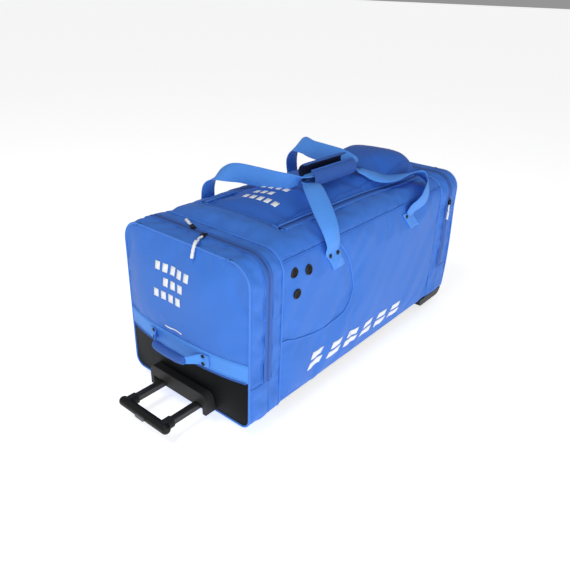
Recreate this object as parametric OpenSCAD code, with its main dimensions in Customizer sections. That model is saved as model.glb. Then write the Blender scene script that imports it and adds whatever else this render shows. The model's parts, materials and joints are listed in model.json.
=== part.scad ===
// Wheeled hockey equipment bag with a telescopic trolley handle.
// +X runs from the trolley end to the wheel end, +Z is up, and the bag stands on z = 0.
// The origin lies under the middle of the bag, on the bottom face of its middle skid rail.

/* [Bag] */
// Length between the front and the rear end panels
bag_len = 950; // [900:10:1000]
// Width over the side panels
bag_w = 400; // [380:5:420]
// Height of the soft floor above the ground
floor_z = 30; // [28:1:34]
// Height of the flat top around the lid
top_z = 435; // [420:5:450]
// Radius of the long top edges
top_r = 50; // [40:5:60]
// Radius of the long bottom edges
base_r = 25; // [20:1:30]
// Thickness of the padded fabric walls
wall = 5; // [3:0.5:6]
// Depth of each end pocket
pocket_len = 104; // [90:2:120]
// How far the front end panel swells outwards
front_swell = 20; // [10:1:25]
// How far the rear end panel swells outwards
rear_swell = 30; // [20:1:35]

/* [Lid] */
// Where the lid is hinged, measured from the bag's middle
lid_front_x = -295; // [-310:5:-280]
// Where the lid ends, measured from the bag's middle
lid_rear_x = 350; // [300:5:355]
// Half of the lid's width
lid_half_w = 118.5; // [110:0.5:125]
// Rise of the lid's crown above its rim
lid_rise = 48; // [40:1:48]
// Rise of the lid's crown over the packed rear part
lid_rear_rise = 76; // [60:1:76]

/* [Trolley] */
// Distance between the two handle tubes
tube_pitch = 126; // [110:1:140]
// Outer size of the square inner tube
inner_tube = 17; // [15:0.5:18]
// Wall of every handle tube
tube_wall = 1.5; // [1.2:0.1:2]
// Play between two stages, on each side
stage_play = 0.3; // [0.2:0.05:0.4]
// Height of the tubes' centre lines
tube_z = 47.5; // [47:0.5:50]
// Distance from the end panel to the grip at rest
handle_out = 120; // [100:5:130]
// Width of the grip bar
grip_len = 172; // [160:2:190]

/* [Wheels] */
// Radius of the wheels
wheel_r = 40; // [36:1:42]
// Width of the wheels
wheel_w = 28; // [24:1:30]
// Wheel centre, measured from the bag's middle
wheel_x = 400; // [395:1:405]
// Distance of each wheel from the middle plane
wheel_y = 164; // [160:1:166]
// Radius of the wheel axles
axle_r = 4; // [3:0.5:5]

/* [Handles] */
// Width of the webbing
webbing_w = 50; // [40:5:50]
// Thickness of the webbing
webbing_t = 2.4; // [2:0.2:3]
// Length of the padded wrap
wrap_len = 185; // [160:5:200]

/* [Hidden] */
$fn = 48;

end_x = bag_len / 2;
half_w = bag_w / 2;
body_x = end_x - pocket_len;
seam_gap = 0.5;
far_away = 2000;

// Heights where one fabric piece ends and the next begins.
floor_edge_z = floor_z + 8;
side_top_z = 413;
skirt_top_z = 158;
band_top_z = 204;
front_fold_z = 235;
rear_fold_z = 205;
zip_low_z = 140;
board_z = 60;
board_t = 4;

// The end zips run round the gussets at this distance from the middle.
zip_x = 420;
zip_w = 9;
main_zip_w = 8;
mouth_gap = 1;

near = -1;
far = 1;
fabric = [0.26, 0.5, 0.87];
webbing = [0.36, 0.62, 0.95];
black = [0.08, 0.08, 0.09];
lining = [0.16, 0.17, 0.2];
metal = [0.7, 0.7, 0.72];
white = [0.95, 0.95, 0.95];

// ---------------------------------------------------------------- helpers

// Extrudes a shape drawn in (Y, Z) from x0 to x1.
module along_x(x0, x1) {
    translate([x0, 0, 0])
        rotate([90, 0, 90])
            linear_extrude(x1 - x0)
                children();
}

// Extrudes a shape drawn in (X, Z) from y0 to y1.
module along_y(y0, y1) {
    translate([0, y1, 0])
        rotate([90, 0, 0])
            linear_extrude(y1 - y0)
                children();
}

module block(low, high) {
    translate(low)
        cube(high - low);
}

// The bag's cross-section, drawn in (Y, Z) and moved inwards by inset.
module profile(inset = 0) {
    w = half_w - inset;
    z0 = floor_z + inset;
    z1 = top_z - inset;
    rt = top_r - inset;
    rb = base_r - inset;
    union() {
        translate([-w, z0 + rb])
            square([2 * w, z1 - rt - z0 - rb]);
        translate([rt - w, z0 + rb])
            square([2 * (w - rt), z1 - z0 - rb]);
        translate([rb - w, z0])
            square([2 * (w - rb), z1 - z0 - rt]);
        for (side = [near, far]) {
            translate([side * (w - rt), z1 - rt])
                circle(rt);
            translate([side * (w - rb), z0 + rb])
                circle(rb);
        }
    }
}

module wall_ring() {
    difference() {
        profile();
        profile(wall);
    }
}

// A length of the bag's wall between two stations and two heights.
module wall_part(x0, x1, z0, z1, y0 = -far_away, y1 = far_away) {
    intersection() {
        along_x(x0, x1)
            wall_ring();
        block([x0 - 1, y0, z0], [x1 + 1, y1, z1]);
    }
}

// A swollen end panel: a shell cut from a large ball, between two heights.
module end_panel(dir, swell, z0, z1) {
    ball_r = half_w * half_w / (2 * swell) + swell / 2;
    centre_x = end_x + swell + wall - ball_r;
    intersection() {
        translate([dir * centre_x, 0, 190])
            difference() {
                sphere(ball_r, $fn = 360);
                sphere(ball_r - wall, $fn = 360);
            }
        along_x(min(dir * 400, dir * 560), max(dir * 400, dir * 560))
            profile(wall + seam_gap);
        block([-far_away, -far_away, z0], [far_away, far_away, z1]);
    }
}

// A square tube with rounded corners along X.
module tube_outline(size) {
    r = 3;
    h = size / 2;
    union() {
        square([size - 2 * r, size], center = true);
        square([size, size - 2 * r], center = true);
        for (a = [-1, 1])
            for (b = [-1, 1])
                translate([a * (h - r), b * (h - r)])
                    circle(r);
    }
}

module tube_pair(size, x0, x1) {
    for (side = [near, far])
        translate([0, side * tube_pitch / 2, tube_z])
            along_x(x0, x1)
                difference() {
                    tube_outline(size);
                    tube_outline(size - 2 * tube_wall);
                }
}

module solid_pair(size, x0, x1) {
    for (side = [near, far])
        translate([0, side * tube_pitch / 2, tube_z])
            along_x(x0, x1)
                tube_outline(size);
}

// ---------------------------------------------------------------- swept webbing

function unit(v) = v / norm(v);

// A smooth curve through the route's points; each row is place, width direction and width.
function bend(a, b, c, d, t) =
    0.5 * (2 * b + (c - a) * t + (2 * a - 5 * b + 4 * c - d) * t * t
    + (3 * b - a - 3 * c + d) * t * t * t);

function smooth_route(route, steps) = [
    for (i = [0 : len(route) - 2])
        for (s = [0 : steps - 1])
            bend(route[max(i - 1, 0)], route[i], route[i + 1],
                 route[min(i + 2, len(route) - 1)], s / steps),
    route[len(route) - 1]
];

function place(row) = [row[0], row[1], row[2]];
function across(row) = unit([row[3], row[4], row[5]]);
function heading(rows, i) =
    unit(place(rows[min(i + 1, len(rows) - 1)]) - place(rows[max(i - 1, 0)]));

function band_corners(rows, i) =
    let (
        t = heading(rows, i),
        w = unit(across(rows[i]) - (across(rows[i]) * t) * t),
        n = cross(t, w),
        half = rows[i][6] / 2,
        thick = webbing_t / 2
    )
    [for (k = [[-1, -1], [1, -1], [1, 1], [-1, 1]])
        place(rows[i]) + k[0] * half * w + k[1] * thick * n];

module swept_band(route, steps = 4) {
    rows = smooth_route(route, steps);
    last = len(rows) - 1;
    polyhedron(
        points = [for (i = [0 : last]) each band_corners(rows, i)],
        faces = [
            [0, 1, 2, 3],
            for (i = [0 : last - 1])
                for (k = [0 : 3])
                    let (a = 4 * i + k, b = 4 * i + (k + 1) % 4)
                    each [[a, a + 4, b], [b, a + 4, b + 4]],
            [4 * last + 3, 4 * last + 2, 4 * last + 1, 4 * last]
        ],
        convexity = 6);
}

// Routes of the two carrying straps: x, y, z, width direction, width.
near_route = [
    [-192, -207, 389, 1, 0, 0, 50],
    [-206, -213, 414, 1, 0, 0.1, 50],
    [-213, -204, 446, 1, -0.15, 0.15, 50],
    [-196, -168, 478, 0.9, -0.35, 0.2, 50],
    [-164, -110, 498, 0.8, -0.55, 0.2, 46],
    [-142, -78, 500, 0.5, -0.8, 0.1, 34],
    [-114, -58, 500, 0, -1, 0, 25],
    [-15, -58, 500, 0, -1, 0, 25],
    [81, -58, 500, 0, -1, 0, 25],
    [98, -82, 492, -0.1, -0.9, -0.4, 32],
    [124, -108, 478, -0.3, -0.8, -0.45, 44],
    [174, -128, 468, -0.4, -0.85, -0.1, 50],
    [236, -144, 470, -0.5, -0.8, 0.3, 50],
    [280, -168, 468, -0.6, -0.6, 0.5, 50],
    [276, -197, 444, -0.8, -0.3, 0.5, 50],
    [230, -214, 420, -0.9, -0.1, 0.4, 50],
    [200, -212, 403, -1, 0, 0, 50],
    [184, -209, 390, -1, 0, 0, 50]
];
far_route = [
    [-188, 207, 389, 1, 0, 0, 50],
    [-196, 212, 416, 1, 0, 0.1, 50],
    [-194, 207, 456, 1, 0.1, -0.1, 50],
    [-178, 182, 484, 0.8, 0.3, 0.5, 50],
    [-166, 135, 496, 0.3, 0.1, 1, 50],
    [-160, 70, 498, 0.2, 0, 1, 50],
    [-156, 5, 500, 0.1, 0, 1, 48],
    [-144, -38, 508, 0, -0.5, 1, 36],
    [-120, -58, 516, 0, -1, 0.2, 27],
    [-98, -58, 516, 0, -1, 0, 26],
    [-15, -58, 516, 0, -1, 0, 26],
    [80, -58, 516, 0, -1, 0, 26],
    [96, -46, 516, 0, -1, 0.6, 32],
    [104, -5, 516, 0.3, -0.2, 1, 44],
    [109, 56, 515, 0.3, 0, 1, 50],
    [118, 107, 515, 0.3, 0, 1, 50],
    [130, 146, 518, 0.5, 0, 1, 50],
    [142, 182, 506, 1, 0, 0.6, 50],
    [152, 205, 468, 1, 0, 0, 50],
    [168, 212, 420, 1, 0, 0, 50],
    [178, 207, 389, 1, 0, 0, 50]
];

// ---------------------------------------------------------------- base and frame

module floor_panel() {
    color(black)
        difference() {
            wall_part(-body_x + seam_gap, body_x - seam_gap, 0, floor_edge_z - seam_gap);
            wheel_pockets();
        }
}

module base_board() {
    color(lining)
        difference() {
            block([-body_x + 5, 10 - half_w, board_z], [body_x - 5, half_w - 10, board_z + board_t]);
            wheel_pockets();
        }
}

// Cross blocks that tie the outer tubes to the base board.
saddle_places = [-420, -180, 60];
module tube_saddles() {
    size = outer_size();
    color(black)
        difference() {
            for (x = saddle_places)
                block([x, -tube_pitch / 2 - 24, 35.2], [x + 30, tube_pitch / 2 + 24, board_z - 0.2]);
            solid_pair(size + 0.1, -end_x, 200);
        }
}

rail_places = [-120, 0, 120];
module skid_rails() {
    rail_w = 24;
    front_x = -430;
    rear_x = 300;
    nose = 14;
    color(black)
        for (y = rail_places)
            along_y(y - rail_w / 2, y + rail_w / 2)
                union() {
                    translate([front_x + nose, 0])
                        square([rear_x - front_x - 2 * nose, floor_z - 0.3]);
                    for (x = [front_x + nose, rear_x - nose]) {
                        translate([x, nose])
                            circle(nose);
                        translate([x - nose, nose])
                            square([2 * nose, floor_z - 0.3 - nose]);
                    }
                }
}

// ---------------------------------------------------------------- fabric body

vent_r = 10;
vent_places = [[-335, 378], [-290, 372], [-330, 327]];

module vent_holes(r) {
    for (v = vent_places)
        translate([v[0], -half_w - 20, v[1]])
            rotate([-90, 0, 0])
                cylinder(r = r, h = bag_w + 40);
}

module side_panel(side) {
    y0 = side == near ? -far_away : 0;
    color(fabric)
        difference() {
            wall_part(-body_x + seam_gap, body_x - seam_gap, floor_edge_z, side_top_z, y0, y0 + far_away);
            vent_holes(vent_r);
            wheel_pockets();
        }
}

module near_side_panel() side_panel(near);
module far_side_panel() side_panel(far);

module vents() {
    flange_r = 12.5;
    mesh_r = 7.5;
    color(black)
        for (side = [near, far])
            for (v = vent_places)
                translate([v[0], side * half_w, v[1]])
                    rotate([-90 * side, 0, 0]) {
                        difference() {
                            union() {
                                translate([0, 0, -wall - 1])
                                    cylinder(r = vent_r - 0.05, h = wall + 1.2);
                                translate([0, 0, 0.1])
                                    cylinder(r = flange_r, h = 1.9);
                            }
                            translate([0, 0, -wall - 2])
                                cylinder(r = mesh_r, h = wall + 6);
                        }
                        translate([0, 0, -2])
                            cylinder(r = mesh_r, h = 0.8);
                    }
}

module mouth() {
    block([lid_front_x - 2, -lid_half_w - 9, top_z - 20],
          [lid_rear_x + 10, lid_half_w + 9, top_z + 20]);
}

module top_border() {
    color(fabric)
        difference() {
            wall_part(-body_x + seam_gap, body_x - seam_gap, side_top_z + seam_gap, top_z + 1);
            mouth();
        }
}

// Fabric walls between the main compartment and the two end pockets.
module bulkheads() {
    color(lining)
        for (dir = [-1, 1])
            difference() {
                intersection() {
                    along_x(dir * (body_x + 1) - 1, dir * (body_x + 1) + 1)
                        profile(wall + seam_gap);
                    block([-far_away, -far_away, board_z + board_t + 1], [far_away, far_away, top_z]);
                }
                wheel_pockets();
            }
}

// The fixed part of an end gusset: a full-depth base and a strip behind the zip.
module end_gusset(dir, fold_z) {
    zip_in = zip_x - zip_w / 2 - seam_gap;
    zip_out = zip_x + zip_w / 2 + seam_gap;
    body_edge = body_x + seam_gap;
    rim = end_x - seam_gap;
    mirror(dir < 0 ? [1, 0, 0] : [0, 0, 0])
        union() {
            wall_part(body_edge, zip_in, 0, far_away);
            wall_part(zip_in - 1, rim, 0, zip_low_z);
            wall_part(zip_out, rim, zip_low_z - 1, fold_z - 1);
        }
}

module front_gusset() {
    color(fabric)
        end_gusset(-1, front_fold_z);
}

module rear_gusset() {
    color(fabric)
        difference() {
            end_gusset(1, rear_fold_z);
            wheel_pockets();
        }
}

plate_half_w = 98;
plate_top_z = 92;
plate_low_z = 36;

module front_skirt() {
    color(black)
        difference() {
            end_panel(-1, front_swell, floor_z, skirt_top_z);
            plate_body(0.3);
        }
}

module front_band() {
    color(webbing)
        end_panel(-1, front_swell, skirt_top_z + seam_gap, band_top_z);
}

module front_lower_panel() {
    color(fabric)
        end_panel(-1, front_swell, band_top_z + seam_gap, front_fold_z - 1);
}

module rear_skirt() {
    color(black)
        difference() {
            end_panel(1, rear_swell, floor_z, rear_fold_z - 1);
            wheel_pockets();
        }
}

// One closed loop of piping round the bag's cross-section.
module piping_loop(x) {
    cord_r = 2.5;
    along_x(x - cord_r, x + cord_r)
        difference() {
            profile(-cord_r);
            profile(-0.2);
        }
}

module body_piping() {
    rail_half = 14;
    color(webbing)
        difference() {
            for (x = [-body_x, body_x])
                piping_loop(x);
            wheel_pockets();
            for (y = rail_places)
                block([-far_away, y - rail_half, 0], [far_away, y + rail_half, floor_z - 0.2]);
        }
}

// ---------------------------------------------------------------- zips

module end_zip(dir) {
    color(black)
        intersection() {
            along_x(dir * zip_x - zip_w / 2, dir * zip_x + zip_w / 2)
                difference() {
                    profile(-1);
                    profile(3);
                }
            block([-far_away, -far_away, zip_low_z + seam_gap], [far_away, far_away, far_away]);
        }
}

module front_zip() end_zip(-1);
module rear_zip() end_zip(1);

module main_zip() {
    outer = lid_half_w + main_zip_w + 0.5;
    inner = lid_half_w + 0.5;
    rear = lid_rear_x + main_zip_w + 1;
    color(black)
        difference() {
            block([lid_front_x + 5, -outer, top_z - wall], [rear, outer, top_z + 1]);
            block([lid_front_x - 5, -inner, top_z - 20], [rear - main_zip_w, inner, top_z + 20]);
        }
}

// A zip slider lying on a zip that runs along X. Its post is drilled for the pull's pin.
slider_len = 15;
slider_w = 8;
slider_h = 4;
post_x = 3;
pin_z = slider_h + 2.4;
module slider_shape(pull_turn) {
    color(black)
        difference() {
            union() {
                block([-slider_len / 2, -slider_w / 2, 0], [slider_len / 2, slider_w / 2, slider_h]);
                translate([post_x, 0, slider_h - 1])
                    cylinder(r = 2.4, h = 6);
            }
            translate([post_x, 0, pin_z])
                rotate([90, 0, pull_turn])
                    cylinder(r = 1.25, h = 20, center = true);
        }
}

// A moulded pull that lies along +X from the pin that carries it.
pull_len = 62;
module pull_shape() {
    arm = 3.2;
    head = 23;
    color(white)
        union() {
            rotate([90, 0, 0])
                cylinder(r = 1.2, h = 2 * arm, center = true);
            for (side = [-1, 1])
                block([-1.2, side * arm - 0.6, -1.2], [10, side * arm + 0.6, 1.2]);
            block([9, -arm - 0.6, -1.2], [12, arm + 0.6, 1.2]);
            translate([11, 0, 0])
                rotate([0, 90, 0])
                    cylinder(r = 1.8, h = pull_len - head - 10);
            block([pull_len - head, -3.5, -2], [pull_len, 3.5, 2]);
        }
}

module turned_pull(turn) {
    translate([post_x, 0, pin_z])
        rotate([0, 0, turn])
            pull_shape();
}

slider_z = top_z + 1.3;
front_near_y = -14;
front_far_y = 16;
main_near_y = -14;
main_far_y = 14;
rear_slider_z = 372;

// How each pull is turned from its slider's own direction.
front_near_turn = -65;
front_far_turn = -24;
main_near_turn = 50;
main_far_turn = -50;

module on_front_zip(y, turn) {
    translate([-zip_x, y, slider_z])
        rotate([0, 0, turn])
            children();
}

module on_main_zip(y, turn) {
    translate([lid_rear_x + 1 + main_zip_w / 2, y, slider_z])
        rotate([0, 0, turn])
            children();
}

module on_rear_zip() {
    translate([zip_x, -half_w - 1.3, rear_slider_z])
        rotate([90, 0, 0])
            rotate([0, 0, -90])
                children();
}

module front_slider_near() on_front_zip(front_near_y, -90) slider_shape(front_near_turn);
module front_slider_far() on_front_zip(front_far_y, 90) slider_shape(front_far_turn);
module main_slider_near() on_main_zip(main_near_y, -90) slider_shape(main_near_turn);
module main_slider_far() on_main_zip(main_far_y, 90) slider_shape(main_far_turn);
module rear_slider() on_rear_zip() slider_shape(0);

module front_pull_near() on_front_zip(front_near_y, -90) turned_pull(front_near_turn);
module front_pull_far() on_front_zip(front_far_y, 90) turned_pull(front_far_turn);
module main_pull_near() on_main_zip(main_near_y, -90) turned_pull(main_near_turn);
module main_pull_far() on_main_zip(main_far_y, 90) turned_pull(main_far_turn);
module rear_pull() on_rear_zip() turned_pull(0);

// ---------------------------------------------------------------- handles

patch_places = [-186, 180];
patch_z = 356;
rivet_rise = 8;
rivet_spacing = 34;

// The sewn ends of the carrying straps, flat on the side panels.
module strap_patches() {
    color(webbing)
        for (side = [near, far])
            for (x = patch_places)
                translate([x, side * (half_w + 0.2), patch_z])
                    block([-webbing_w / 2, min(0, side * webbing_t), -22],
                          [webbing_w / 2, max(0, side * webbing_t), 22]);
}

module rivet(r) {
    cylinder(r = r, h = 3);
    translate([0, 0, 2.4])
        cylinder(r1 = r + 1.6, r2 = r, h = 1.8);
}

module rivets() {
    color(black)
        union() {
            for (side = [near, far])
                for (x = patch_places)
                    for (k = [-0.5, 0.5])
                        translate([x + k * rivet_spacing, side * (half_w + webbing_t + 0.4),
                                   patch_z + rivet_rise])
                            rotate([-90 * side, 0, 0])
                                rivet(3);
            for (y = [-84, 84])
                for (z = [grab_z - 10, grab_z + 10])
                    translate([-end_x - front_swell - 1.8, y, z])
                        rotate([0, -90, 0])
                            rivet(2.5);
        }
}

module near_strap() {
    color(webbing)
        swept_band(near_route);
}

module far_strap() {
    color(webbing)
        swept_band(far_route);
}

// The padded wrap holds both straps; its near part is rolled and its flap stands half open.
wrap_x = -15;
wrap_y = -58;
wrap_z = 508;
wrap_r = 22;
wrap_t = 5;

module wrap_arc(from_deg, to_deg) {
    difference() {
        circle(wrap_r);
        circle(wrap_r - wrap_t);
        reach = 3 * wrap_r;
        polygon([
            [0, 0],
            for (a = [to_deg : (from_deg + 360 - to_deg) / 4 : from_deg + 360])
                [reach * cos(a), reach * sin(a)]
        ]);
    }
}

module wrap_pad() {
    color(fabric)
        translate([0, wrap_y, wrap_z])
            along_x(wrap_x - wrap_len / 2, wrap_x + wrap_len / 2)
                wrap_arc(100, 330);
}

module wrap_flap() {
    flap_h = 46;
    color(fabric)
        translate([0, wrap_y + 21, wrap_z - 8])
            rotate([-38, 0, 0])
                block([wrap_x - wrap_len / 2, 0, 0], [wrap_x + wrap_len / 2, wrap_t, flap_h]);
}

grab_z = 181;
grab_x = -end_x - front_swell;
grab_reach = 34;
grab_half = 46;
grab_grip_r = 9.5;

// Two quarter turns of webbing carry the grip away from the band.
module grab_webbing() {
    color(webbing)
        for (side = [near, far])
            translate([grab_x - 3, side * grab_half, grab_z - 17])
                intersection() {
                    difference() {
                        cylinder(r = grab_reach, h = 34);
                        translate([0, 0, -1])
                            cylinder(r = grab_reach - webbing_t, h = 36);
                    }
                    block([-grab_reach - 1, min(0, side * 60), -1], [0, max(0, side * 60), 40]);
                }
}

module grab_grip() {
    color(fabric)
        translate([grab_x - 3 - grab_reach + webbing_t / 2, 0, grab_z])
            rotate([90, 0, 0])
                cylinder(r = grab_grip_r, h = 2 * grab_half - 1, center = true);
}

// ---------------------------------------------------------------- trolley

function mid_size() = inner_tube + 2 * tube_wall + 2 * stage_play;
function outer_size() = mid_size() + 2 * tube_wall + 2 * stage_play;

outer_front_x = -478;
mid_front_x = -499;
inner_front_x = -end_x - handle_out;

module plate_body(grow) {
    r = 16;
    w = plate_half_w + grow;
    z0 = plate_low_z - grow;
    z1 = plate_top_z + grow;
    along_x(-512, -479)
        union() {
            translate([-w, z0])
                square([2 * w, z1 - r - z0]);
            translate([r - w, z0])
                square([2 * (w - r), z1 - z0]);
            for (side = [near, far])
                translate([side * (w - r), z1 - r])
                    circle(r);
        }
}

module trolley_plate() {
    color(black)
        difference() {
            plate_body(0);
            solid_pair(mid_size() + 0.6, -520, -470);
            recess();
        }
}

// A shallow hollow in the plate that takes the grip when the handle is pushed in.
module recess() {
    block([-520, -grip_len / 2 - 1, 0], [mid_front_x, grip_len / 2 + 1, tube_z + 15]);
}

module outer_tubes() {
    color(metal)
        tube_pair(outer_size(), outer_front_x, 130);
}

module mid_tubes() {
    color(black)
        tube_pair(mid_size(), mid_front_x + 7, 100);
}

// Plastic mouths that guide the inner tubes.
module mid_bushes() {
    color(black)
        difference() {
            solid_pair(mid_size(), mid_front_x + 0.5, mid_front_x + 6.8);
            solid_pair(inner_tube + 2 * stage_play, mid_front_x - 5, mid_front_x + 20);
        }
}

module inner_tubes() {
    color(black)
        tube_pair(inner_tube, inner_front_x + 1, -20);
}

module inner_plugs() {
    size = inner_tube - 2 * tube_wall - 0.2;
    color(black)
        difference() {
            solid_pair(size, -50, -20);
            for (side = [near, far]) {
                translate([-35, side * tube_pitch / 2, tube_z - 3])
                    cylinder(r = 2.6, h = 30, center = true);
                translate([0, side * tube_pitch / 2, tube_z + 3.5])
                    rotate([0, 90, 0])
                        cylinder(r = 1.8, h = 140, center = true);
            }
        }
}

module release_rods() {
    color(metal)
        for (side = [near, far])
            translate([inner_front_x + 4, side * tube_pitch / 2, tube_z + 3.5])
                rotate([0, 90, 0])
                    cylinder(r = 1.5, h = -38 - inner_front_x - 8);
}

module lock_pins() {
    color(metal)
        for (side = [near, far])
            translate([-35, side * tube_pitch / 2, tube_z - 6.8])
                cylinder(r = 2.5, h = 7);
}

grip_x = inner_front_x - 16;
grip_r = 12;

// The crossbar is a thick round bar with a collar where each tube enters it.
module handle_grip() {
    color(black)
        difference() {
            union() {
                translate([grip_x, 0, tube_z])
                    rotate([90, 0, 0])
                        cylinder(r = grip_r, h = grip_len - 2 * grip_r, center = true);
                for (side = [near, far]) {
                    translate([grip_x, side * (grip_len / 2 - grip_r), tube_z])
                        sphere(grip_r);
                    translate([grip_x, side * tube_pitch / 2, tube_z])
                        rotate([0, 90, 0])
                            cylinder(r = 14, h = 26);
                }
            }
            solid_pair(inner_tube + 0.1, inner_front_x, inner_front_x + 50);
            button_hole(0.3);
            translate([grip_x - 5, 0, tube_z])
                rotate([0, 90, 0])
                    cylinder(r = 5, h = 12);
        }
}

module button_hole(grow) {
    along = 22;
    translate([grip_x - 20, 0, tube_z])
        along_x(0, 14.5 + grow)
            union() {
                square([along, 10 + 2 * grow], center = true);
                for (side = [-1, 1])
                    translate([side * along / 2, 0])
                        circle(5 + grow);
            }
}

module release_button() {
    along = 22;
    color(lining)
        translate([grip_x - 15, 0, tube_z])
            along_x(0, 5)
                union() {
                    square([along, 10], center = true);
                    for (side = [-1, 1])
                        translate([side * along / 2, 0])
                            circle(5);
                }
}

// Four plain rings of wire stand for the return spring behind the button.
module button_spring() {
    wire_r = 0.6;
    coil_r = 3.6;
    coil_pitch = 2.6;
    coil_start = grip_x - 4;
    color(metal)
        for (k = [0 : 3])
            translate([coil_start + coil_pitch * k, 0, tube_z])
                rotate([0, 90, 0])
                    rotate_extrude()
                        translate([coil_r, 0])
                            circle(wire_r);
}

// ---------------------------------------------------------------- wheels

cavity_half = wheel_w / 2 + 3;
housing_in = 128;
foot_top_z = 42;

// Space taken from the fabric for the two wheel housings.
module wheel_pockets() {
    for (side = [near, far]) {
        y_in = side * housing_in;
        y_deep = side * (half_w - wall - 0.5);
        y_out = side * (half_w + 10);
        block([wheel_x - 56, min(y_in, y_deep), 0], [end_x - 4, max(y_in, y_deep), 100]);
        block([wheel_x - 66, min(y_in, y_out), 0], [end_x + 40, max(y_in, y_out), foot_top_z + 0.5]);
    }
}

// The side view of a wheel housing's foot, with a small front and a large rear rounding.
module housing_foot() {
    r_rear = 30;
    r_front = 10;
    x0 = wheel_x - 65;
    x1 = end_x + 4;
    z0 = 20;
    intersection() {
        translate([x0, z0])
            square([x1 - x0, foot_top_z - z0]);
        union() {
            translate([x0 + r_front, z0])
                square([x1 - r_rear - x0 - r_front, 2 * r_rear]);
            translate([x0, z0 + r_front])
                square([r_front + 1, 2 * r_rear]);
            translate([x1 - r_rear - 1, z0 + r_rear])
                square([r_rear + 1, r_rear]);
            translate([x0 + r_front, z0 + r_front])
                circle(r_front);
            translate([x1 - r_rear, z0 + r_rear])
                circle(r_rear);
        }
    }
}

module wheel_housings() {
    arch_r = 52;
    color(black)
        for (side = [near, far])
            difference() {
                union() {
                    y_in = side * (housing_in + 0.5);
                    y_out = side * (half_w + 1);
                    y_deep = side * (half_w - wall - 1);
                    along_y(min(y_in, y_out), max(y_in, y_out))
                        housing_foot();
                    along_y(min(y_in, y_deep), max(y_in, y_deep))
                        intersection() {
                            translate([wheel_x, wheel_r])
                                circle(arch_r);
                            translate([wheel_x - arch_r, 20])
                                square([2 * arch_r, 100]);
                        }
                }
                y_a = side * (wheel_y - cavity_half);
                y_b = side * (wheel_y + cavity_half);
                along_y(min(y_a, y_b), max(y_a, y_b)) {
                    translate([wheel_x, wheel_r])
                        circle(wheel_r + 5);
                    translate([wheel_x - wheel_r - 5, 0])
                        square([2 * wheel_r + 10, wheel_r]);
                }
                translate([wheel_x, 0, wheel_r])
                    rotate([90, 0, 0])
                        cylinder(r = axle_r, h = 2 * (wheel_y + cavity_half + 9), center = true);
                screw_bores(2);
            }
}

module wheel_axles() {
    reach = cavity_half + 8;
    color(metal)
        for (side = [near, far])
            translate([wheel_x, side * wheel_y, wheel_r])
                rotate([90, 0, 0])
                    cylinder(r = axle_r, h = 2 * reach, center = true);
}

screw_places = [wheel_x - 59, end_x - 14];
screw_len = 14;
module screw_bores(r) {
    for (side = [near, far])
        for (x = screw_places)
            translate([x, side * 140, foot_top_z - screw_len])
                cylinder(r = r, h = screw_len + 0.5);
}

module housing_screws() {
    color(metal)
        union() {
            for (side = [near, far])
                for (x = screw_places)
                    translate([x, side * 140, foot_top_z + 0.1])
                        cylinder(r = 4, h = 2.5);
            screw_bores(1.95);
        }
}

module wheel_hub(side) {
    hub_r = 25;
    color(lining)
        translate([wheel_x, side * wheel_y, wheel_r])
            rotate([90, 0, 0])
                difference() {
                    cylinder(r = hub_r, h = wheel_w - 4, center = true);
                    cylinder(r = axle_r + 0.05, h = wheel_w, center = true);
                }
}

module wheel_tyre(side) {
    hub_r = 25;
    edge_r = 6;
    color(black)
        translate([wheel_x, side * wheel_y, wheel_r])
            rotate([90, 0, 0])
                rotate_extrude()
                    union() {
                        translate([hub_r + 0.05, -wheel_w / 2])
                            square([wheel_r - edge_r - hub_r - 0.05, wheel_w]);
                        translate([hub_r + 0.05, edge_r - wheel_w / 2])
                            square([wheel_r - hub_r - 0.05, wheel_w - 2 * edge_r]);
                        for (k = [-1, 1])
                            translate([wheel_r - edge_r, k * (wheel_w / 2 - edge_r)])
                                circle(edge_r);
                    }
}

module near_wheel_hub() wheel_hub(near);
module far_wheel_hub() wheel_hub(far);
module near_wheel_tyre() wheel_tyre(near);
module far_wheel_tyre() wheel_tyre(far);

// ---------------------------------------------------------------- lid and end flaps

rim_z = top_z + 2;

// The lid's dome: one arch across the bag, and two along it, the higher one over the packed rear part.
module lid_dome(inset) {
    across_r = (lid_half_w * lid_half_w + lid_rear_rise * lid_rear_rise) / (2 * lid_rear_rise);
    crown_z = rim_z + lid_rear_rise;
    long_arch = [60, rim_z + lid_rise, 1430];
    rear_arch = [240, crown_z - 1, 180];
    intersection() {
        block([lid_front_x + inset, -lid_half_w + inset, top_z - wall - (inset > 0 ? 1 : 0)],
              [lid_rear_x - inset, lid_half_w - inset, crown_z]);
        translate([0, 0, crown_z - across_r])
            rotate([0, 90, 0])
                cylinder(r = across_r - inset, h = 2000, center = true, $fn = 96);
        union()
            for (arch = [long_arch, rear_arch])
                translate([arch[0], 0, arch[1] - arch[2]])
                    rotate([90, 0, 0])
                        cylinder(r = arch[2] - inset, h = 2000, center = true, $fn = 96);
    }
}

module lid_panel() {
    color(fabric)
        difference() {
            lid_dome(0);
            lid_dome(wall);
        }
}

module flap_gusset(dir, fold_z) {
    zip_out = zip_x + zip_w / 2 + seam_gap;
    mirror(dir < 0 ? [1, 0, 0] : [0, 0, 0])
        wall_part(zip_out, end_x - seam_gap, fold_z + 1, far_away);
}

module front_flap_panel() {
    color(fabric)
        end_panel(-1, front_swell, front_fold_z + 1, far_away);
}

module front_flap_gusset() {
    color(fabric)
        flap_gusset(-1, front_fold_z);
}

module rear_flap_panel() {
    color(fabric)
        end_panel(1, rear_swell, rear_fold_z + 1, far_away);
}

module rear_flap_gusset() {
    color(fabric)
        flap_gusset(1, rear_fold_z);
}

// ---------------------------------------------------------------- drawing

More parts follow.
